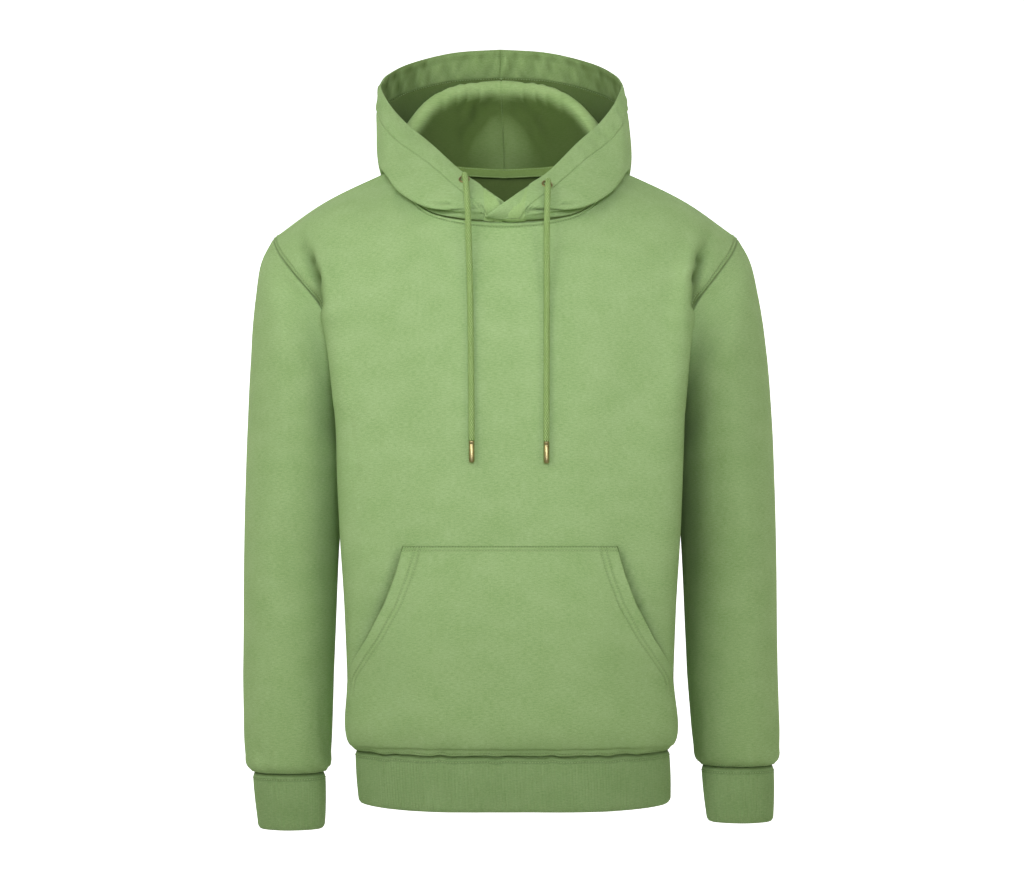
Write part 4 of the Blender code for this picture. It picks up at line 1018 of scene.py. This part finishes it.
class Wire:
    def __init__(self, nodes, socket):
        self.nodes, self.socket = nodes, socket

    def maths(self, operation, other=None, swap=False):
        pair = [self] if other is None else ([other, self] if swap else [self, other])
        return self.nodes.add("ShaderNodeMath", {"operation": operation}, dict(enumerate(pair)))

    def beside(self, key):  # another output of the same node
        return Wire(self.nodes, self.socket.node.outputs[key])

    def __add__(self, other):
        return self.maths("ADD", other)

    def __sub__(self, other):
        return self.maths("SUBTRACT", other)

    def __rsub__(self, other):
        return self.maths("SUBTRACT", other, swap=True)

    def __mul__(self, other):
        return self.maths("MULTIPLY", other)

    def __truediv__(self, other):
        return self.maths("DIVIDE", other)

    def __pow__(self, other):
        return self.maths("POWER", other)


class Nodes:
    def __init__(self, tree):
        self.tree = tree

    def fill(self, node, values):
        for key, value in values.items():
            if isinstance(value, Wire):
                self.tree.links.new(value.socket, node.inputs[key])
            else:
                node.inputs[key].default_value = value

    def add(self, kind, settings=None, values=None, out=0):
        node = self.tree.nodes.new(kind)
        for key, value in (settings or {}).items():
            setattr(node, key, value)
        self.fill(node, values or {})
        return Wire(self, node.outputs[out])

    def split(self, vector):
        parts = self.add("ShaderNodeSeparateXYZ", values={0: vector})
        return [parts.beside(axis) for axis in range(3)]

    def mix(self, share, one, two):  # of colours
        return self.add("ShaderNodeMix", {"data_type": "RGBA"}, {0: share, 6: one, 7: two}, out=2)

    def noise(self, place, scale, detail, roughness=0.5):
        return self.add("ShaderNodeTexNoise", values={
            "Vector": place, "Scale": scale, "Detail": detail, "Roughness": roughness})

    def bump(self, height, distance, strength):
        return self.add("ShaderNodeBump", values={
            "Height": height, "Distance": distance, "Strength": strength})


def newMaterial(name):
    material = bpy.data.materials.new(name)
    material.use_nodes = True
    tree = material.node_tree
    return material, Nodes(tree), tree.nodes["Principled BSDF"]


def clothMaterial(name, deep, mid, pale, course, wale, bump, shaded):
    # heathered knit: pale and deep fibres run along each course
    material, n, shader = newMaterial(name)
    u, v, _ = n.split(n.add("ShaderNodeUVMap", {"uv_map": "cloth"}))
    # speckle size across and along the grain, detail, roughness
    streak, broad, fine = (
        n.noise(n.add("ShaderNodeCombineXYZ", values={0: u / wide, 1: v / tall}), 1.0, detail, roughness)
        for wide, tall, detail, roughness in (
            (0.0060, 0.0009, 3.0, 0.6), (0.045, 0.030, 2.0, 0.5), (0.0016, 0.0007, 1.0, 0.5)))
    share = (streak - 0.5) * 1.9 + (fine - 0.5) * 1.3 + (broad - 0.5) * 0.7 + 0.5
    colour = n.mix(n.add("ShaderNodeClamp", values={0: share}), deep, pale)
    colour = n.mix(0.4, colour, mid)
    # painted shade: the shade attribute mixes the colour towards a deep green
    if shaded:
        shade = n.add("ShaderNodeAttribute", {"attribute_name": "shade"}, out=2)
        colour = n.mix(shade * shaded, colour, (0.10 * mid[0], 0.13 * mid[1], 0.01 * mid[2], 1))
    wave = (v * (2 * math.pi / course)).maths("SINE") * 0.3
    columns = (u * (2 * math.pi / wale)).maths("SINE") * 0.3
    height = wave + columns + (fine - 0.5) * 1.6 + (streak - 0.5) * 0.6
    n.fill(shader, {
        "Base Color": colour, "Roughness": 0.92, "Sheen Weight": 0.25, "Sheen Roughness": 0.55,
        "Sheen Tint": pale, "Specular IOR Level": 0.25, "Normal": n.bump(height, bump, 0.5)})
    return material


def threadMaterial(deep, pale):
    # spun thread: a fine slanting twist
    material, n, shader = newMaterial("thread")
    place = n.add("ShaderNodeTexCoord", out=3)
    x, y, z = n.split(place)
    twist = ((x + z * 0.6 + y * 0.3) * (2 * math.pi / 0.0005)).maths("SINE") * 0.5 + 0.5
    fuzz = n.noise(place, 700.0, 2.0)
    colour = n.mix(n.add("ShaderNodeClamp", values={0: twist * 0.5 + fuzz * 0.8 - 0.15}), deep, pale)
    n.fill(shader, {"Base Color": colour, "Roughness": 0.7, "Normal": n.bump(twist, 0.00003, 0.4)})
    return material


def brassMaterial(dull, bright):
    material, n, shader = newMaterial("brass")
    place = n.add("ShaderNodeTexCoord", out=3)
    rub, tarnish = n.noise(place, 900.0, 3.0), n.noise(place, 260.0, 2.0)
    n.fill(shader, {"Base Color": n.mix(tarnish, dull, bright), "Roughness": rub * 0.25 + 0.22,
                    "Metallic": 1.0, "Normal": n.bump(rub, 0.00004, 0.4)})
    return material


# geometry nodes

def newTree(name, inputs):
    tree = bpy.data.node_groups.new(name, "GeometryNodeTree")
    tree.interface.new_socket("Geometry", in_out="INPUT", socket_type="NodeSocketGeometry")
    for title, kind in inputs:
        tree.interface.new_socket(title, in_out="INPUT", socket_type=kind)
    tree.interface.new_socket("Geometry", in_out="OUTPUT", socket_type="NodeSocketGeometry")
    n = Nodes(tree)
    entry = tree.nodes.new("NodeGroupInput")
    return tree, n, {socket.name: Wire(n, socket) for socket in entry.outputs if socket.name}


def leave(tree, n, wire, material):
    # the tree ends by giving its mesh a material
    dressed = n.add("GeometryNodeSetMaterial", values={"Geometry": wire, "Material": material})
    n.fill(tree.nodes.new("NodeGroupOutput"), {0: dressed})
    return tree


def runNodes(piece, tree, values):
    modifier = piece.modifiers.new(tree.name, "NODES")
    modifier.node_group = tree
    for item in tree.interface.items_tree:
        if item.in_out == "INPUT" and item.name in values:
            modifier[item.identifier] = values[item.name]
    graph = bpy.context.evaluated_depsgraph_get()
    done = bpy.data.meshes.new_from_object(piece.evaluated_get(graph), depsgraph=graph)
    piece.modifiers.remove(modifier)
    old, piece.data = piece.data, done
    bpy.data.meshes.remove(old)
    return piece


def ribTree():
    tree, n, entry = newTree("ribs", [("Height", "NodeSocketFloat"), ("Uneven", "NodeSocketFloat"),
                                      ("Seed", "NodeSocketInt"), ("Material", "NodeSocketMaterial")])
    turn = n.add("GeometryNodeInputNamedAttribute", {"data_type": "FLOAT"}, {"Name": "ribTurn"})
    carry = n.add("GeometryNodeInputNamedAttribute", {"data_type": "FLOAT"}, {"Name": "ribCarry"})
    wave = (turn * math.pi).maths("SINE").maths("ABSOLUTE") ** 0.7
    chance = n.add("FunctionNodeRandomValue", {"data_type": "FLOAT"},
                   {"ID": turn.maths("FLOOR"), "Seed": entry["Seed"]}, out=1)
    tall = wave * carry * entry["Height"] * (1.0 - chance * entry["Uneven"])
    normal = n.add("GeometryNodeInputNormal")
    offset = n.add("ShaderNodeVectorMath", {"operation": "SCALE"}, {0: normal, "Scale": tall})
    moved = n.add("GeometryNodeSetPosition", values={"Geometry": entry["Geometry"], "Offset": offset})
    return leave(tree, n, moved, entry["Material"])


def stitchTree():
    tree, n, entry = newTree("stitches", [
        ("Pitch", "NodeSocketFloat"), ("Long", "NodeSocketFloat"), ("Thick", "NodeSocketFloat"),
        ("Wander", "NodeSocketFloat"), ("Seed", "NodeSocketInt"), ("Material", "NodeSocketMaterial")])
    curve = n.add("GeometryNodeMeshToCurve", values={"Mesh": entry["Geometry"]})
    points = n.add("GeometryNodeCurveToPoints", {"mode": "LENGTH"},
                   {"Curve": curve, "Length": entry["Pitch"]})
    facing = n.add("FunctionNodeAlignRotationToVector", {"axis": "Z"}, {"Vector": points.beside("Tangent")})
    chance = n.add("FunctionNodeRandomValue", {"data_type": "FLOAT"}, {
        2: -1.0, 3: 1.0, "Seed": entry["Seed"]}, out=1)
    size = n.add("ShaderNodeCombineXYZ", values={
        0: entry["Thick"], 1: entry["Thick"], 2: entry["Long"] * (chance * entry["Wander"] + 1.0)})
    bead = n.add("GeometryNodeMeshUVSphere", values={"Radius": 1.0, "Segments": 6, "Rings": 4})
    placed = n.add("GeometryNodeInstanceOnPoints", values={
        "Points": points, "Instance": bead, "Rotation": facing, "Scale": size})
    whole = n.add("GeometryNodeRealizeInstances", values={"Geometry": placed})
    return leave(tree, n, whole, entry["Material"])


stitchMeasures = {"Pitch": 0.0031, "Long": 0.00125, "Thick": 0.00034, "Wander": 0.12, "Seed": 4}


def stitches(name, lines, tree, material):
    vertices, edges = [], []
    for line in lines:
        first = len(vertices)
        vertices.extend(tuple(point * mm) for point in lean(line))
        edges.extend((first + one, first + one + 1) for one in range(len(line) - 1))
    mesh = bpy.data.meshes.new(name)
    mesh.from_pydata(vertices, edges, [])
    piece = addObject(name, mesh)
    runNodes(piece, tree, {**stitchMeasures, "Material": material})
    piece.data.shade_smooth()
    return piece


# materials and pieces

# deep, mid and pale green, the knit's course, wale and bump in metres, how strongly the painted shade darkens
# it
knits = {
    "fleece": ((0.205, 0.355, 0.102, 1), (0.325, 0.485, 0.190, 1), (0.455, 0.605, 0.288, 1),
               0.0007, 0.0009, 0.00022, 0.7),
    # the lining is a lighter copy of the fleece, painted light for its lit ridge, with strong painted shade
    # elsewhere
    "lining": ((0.225, 0.385, 0.106, 1), (0.350, 0.520, 0.190, 1), (0.480, 0.640, 0.282, 1),
               0.0007, 0.0009, 0.00022, 0.88),
    "reverse": ((0.250, 0.400, 0.105, 1), (0.340, 0.500, 0.155, 1), (0.440, 0.600, 0.220, 1),
                0.0012, 0.0016, 0.0004, 0.8),
    "rib": ((0.170, 0.290, 0.090, 1), (0.255, 0.385, 0.150, 1), (0.345, 0.480, 0.220, 1),
            0.0008, 0.0010, 0.00022, 0.7),
    "braid": ((0.250, 0.410, 0.105, 1), (0.380, 0.560, 0.180, 1), (0.505, 0.680, 0.280, 1),
              0.0009, 0.0009, 0.00015, 0.75),
    # the tape is set darker than the fleece, painted shade for its place deep inside the neck
    "tape": ((0.148, 0.243, 0.056, 1), (0.186, 0.291, 0.073, 1), (0.236, 0.351, 0.098, 1),
             0.0008, 0.0008, 0.00015, 0),
}
fleece, lining, reverse, rib, braid, tape = (clothMaterial(name, *row) for name, row in knits.items())
thread = threadMaterial((0.240, 0.380, 0.110, 1), (0.450, 0.610, 0.280, 1))
brass = brassMaterial((0.27, 0.235, 0.095, 1), (0.54, 0.45, 0.22, 1))


def dress(piece, *materials):
    for material in materials:
        piece.data.materials.append(material)


lines = {}
front, lines["front"] = bodyPanel(True)
back, lines["back"] = bodyPanel(False)
for piece in (front, back):
    dress(piece, fleece, reverse)
print("body panels", len(front.data.polygons))

sleeves, hoods, cuffs = {}, {}, {}
for label in ("left", "right"):
    sleeves[label], lines["sleeve" + label] = sleeve(label)
    hoods[label], lines["hood" + label] = hoodHalf(label)
    dress(sleeves[label], fleece, reverse)
    dress(hoods[label], fleece, lining)
print("sleeves and hood", len(sleeves["left"].data.polygons), len(hoods["left"].data.polygons))

pouch, lines["pocket"] = pocket()
dress(pouch, fleece, reverse)
band, lines["tape"] = neckTape()
dress(band, tape, tape)
print("pocket and tape", len(pouch.data.polygons))

hem, lines["hem"] = hemBand()
for label in ("left", "right"):
    cuffs[label], lines["cuff" + label] = cuff(label, sleeveGrid(label)[0][-1])
ribs = ribTree()
for seed, piece in enumerate((hem, cuffs["left"], cuffs["right"]), start=3):
    runNodes(piece, ribs, {"Height": ribMeasures["tall"], "Uneven": ribMeasures["uneven"],
                           "Seed": seed, "Material": rib})
    piece.data.shade_smooth()
print("ribs", len(hem.data.polygons))

sewing = stitchTree()
seams = {
    "stitchesBody": ("front", "back", "sleeveleft", "sleeveright"),
    "stitchesHood": ("hoodleft", "hoodright", "tape"),
    "stitchesPocket": ("pocket",),
    "stitchesRibs": ("hem", "cuffleft", "cuffright"),
}
threads = [stitches(name, [line for key in keys for line in lines[key]], sewing, thread)
           for name, keys in seams.items()]
print("stitches", [len(piece.data.polygons) for piece in threads])

cords, tips, eyelets = {}, {}, {}
for label in ("left", "right"):
    tube, path, length = cordTube(label)
    dress(tube, braid)
    cords[label] = (tube, path, length)
    tips[label], eyelets[label] = tipEnd(label), eyelet(label)
    dress(tips[label], brass)
    dress(eyelets[label], brass)
print("cords and brass")


# a pale floor below, and a white wall behind
def stagePiece(name, corners, tone, glow):
    piece = addObject(name, bpy.data.meshes.new(name))
    piece.data.from_pydata(corners, [], [(0, 1, 2, 3)])
    material, n, shader = newMaterial(name)
    grain = n.noise(n.add("ShaderNodeTexCoord", out=3), 3.0, 2.0)
    colour = n.mix(grain, (tone, tone, tone, 1), (tone + 0.03, tone + 0.03, tone + 0.03, 1))
    n.fill(shader, {"Base Color": colour, "Roughness": 0.9,
                    "Emission Color": (1, 1, 1, 1), "Emission Strength": glow})
    dress(piece, material)


low = -1.45
stagePiece("floor", [(-12, -8, low), (12, -8, low), (12, 4, low), (-12, 4, low)], 0.8, 0.0)
stagePiece("wall", [(-12, 4, low), (12, 4, low), (12, 4, 7), (-12, 4, 7)], 0.9, 1.0)

scene = bpy.context.scene
scene.view_settings.view_transform = "Standard"
scene.world = bpy.data.worlds.new("studio")
scene.world.use_nodes = True
background = scene.world.node_tree.nodes["Background"]
background.inputs["Color"].default_value = (0.98, 1, 0.8, 1)
background.inputs["Strength"].default_value = 0.20


def areaLight(name, place, aim, size, power, colour, beam=180):
    data = bpy.data.lights.new(name, "AREA")
    data.shape, data.size, data.energy, data.color = "SQUARE", size, power, colour
    data.spread = math.radians(beam)
    light = addObject(name, data)
    light.location = place
    light.rotation_euler = (Vector(place) - Vector(aim)).to_track_quat("Z", "Y").to_euler()


# name, place, aim, size, power in watts, colour, width of the beam in degrees
areaLight("front", (0.1, -2.4, 0.4), (-0.02, 0, -0.13), 0.9, 1.95, (0.98, 0.97, 1.2), beam=40)
areaLight("nearLeft", (-1.1, -1.6, 0.8), (-0.05, 0, -0.1), 0.8, 3.6, (0.98, 0.98, 1.0), beam=100)
areaLight("farLeft", (-2.3, -1.5, 0.45), (-0.1, 0, -0.22), 1.2, 9, (1, 1.01, 0.88))
areaLight("farRight", (2.1, -2.3, 0.45), (0, 0, -0.22), 1.2, 12, (1, 1.01, 0.8))

for piece in threads:
    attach(piece, "root")
pairs = [(front, "body_front"), (back, "body_back"), (pouch, "pocket"), (band, "neck_tape"),
         (hem, "hem_band")]
for label in ("left", "right"):
    pairs += [(sleeves[label], f"sleeve_{label}"), (hoods[label], f"hood_{label}"),
              (cuffs[label], f"cuff_{label}"), (cords[label][0], f"cord_{label}"),
              (tips[label], f"tip_{label}"), (eyelets[label], f"eyelet_{label}")]
slots = {"body": "fleece", "pocket": "fleece", "neck": "tape", "hem": "rib", "sleeve": "fleece",
         "hood": "fleece", "cuff": "rib", "cord": "braid", "tip": "brass", "eyelet": "brass"}
for piece, node in pairs:
    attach(piece, "root")
    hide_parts(node)
    slots[node.split("_")[0]]


for label in ("left", "right"):
    tube, path, length = cords[label]
    path[::8].tolist() + [path[-1].tolist()]
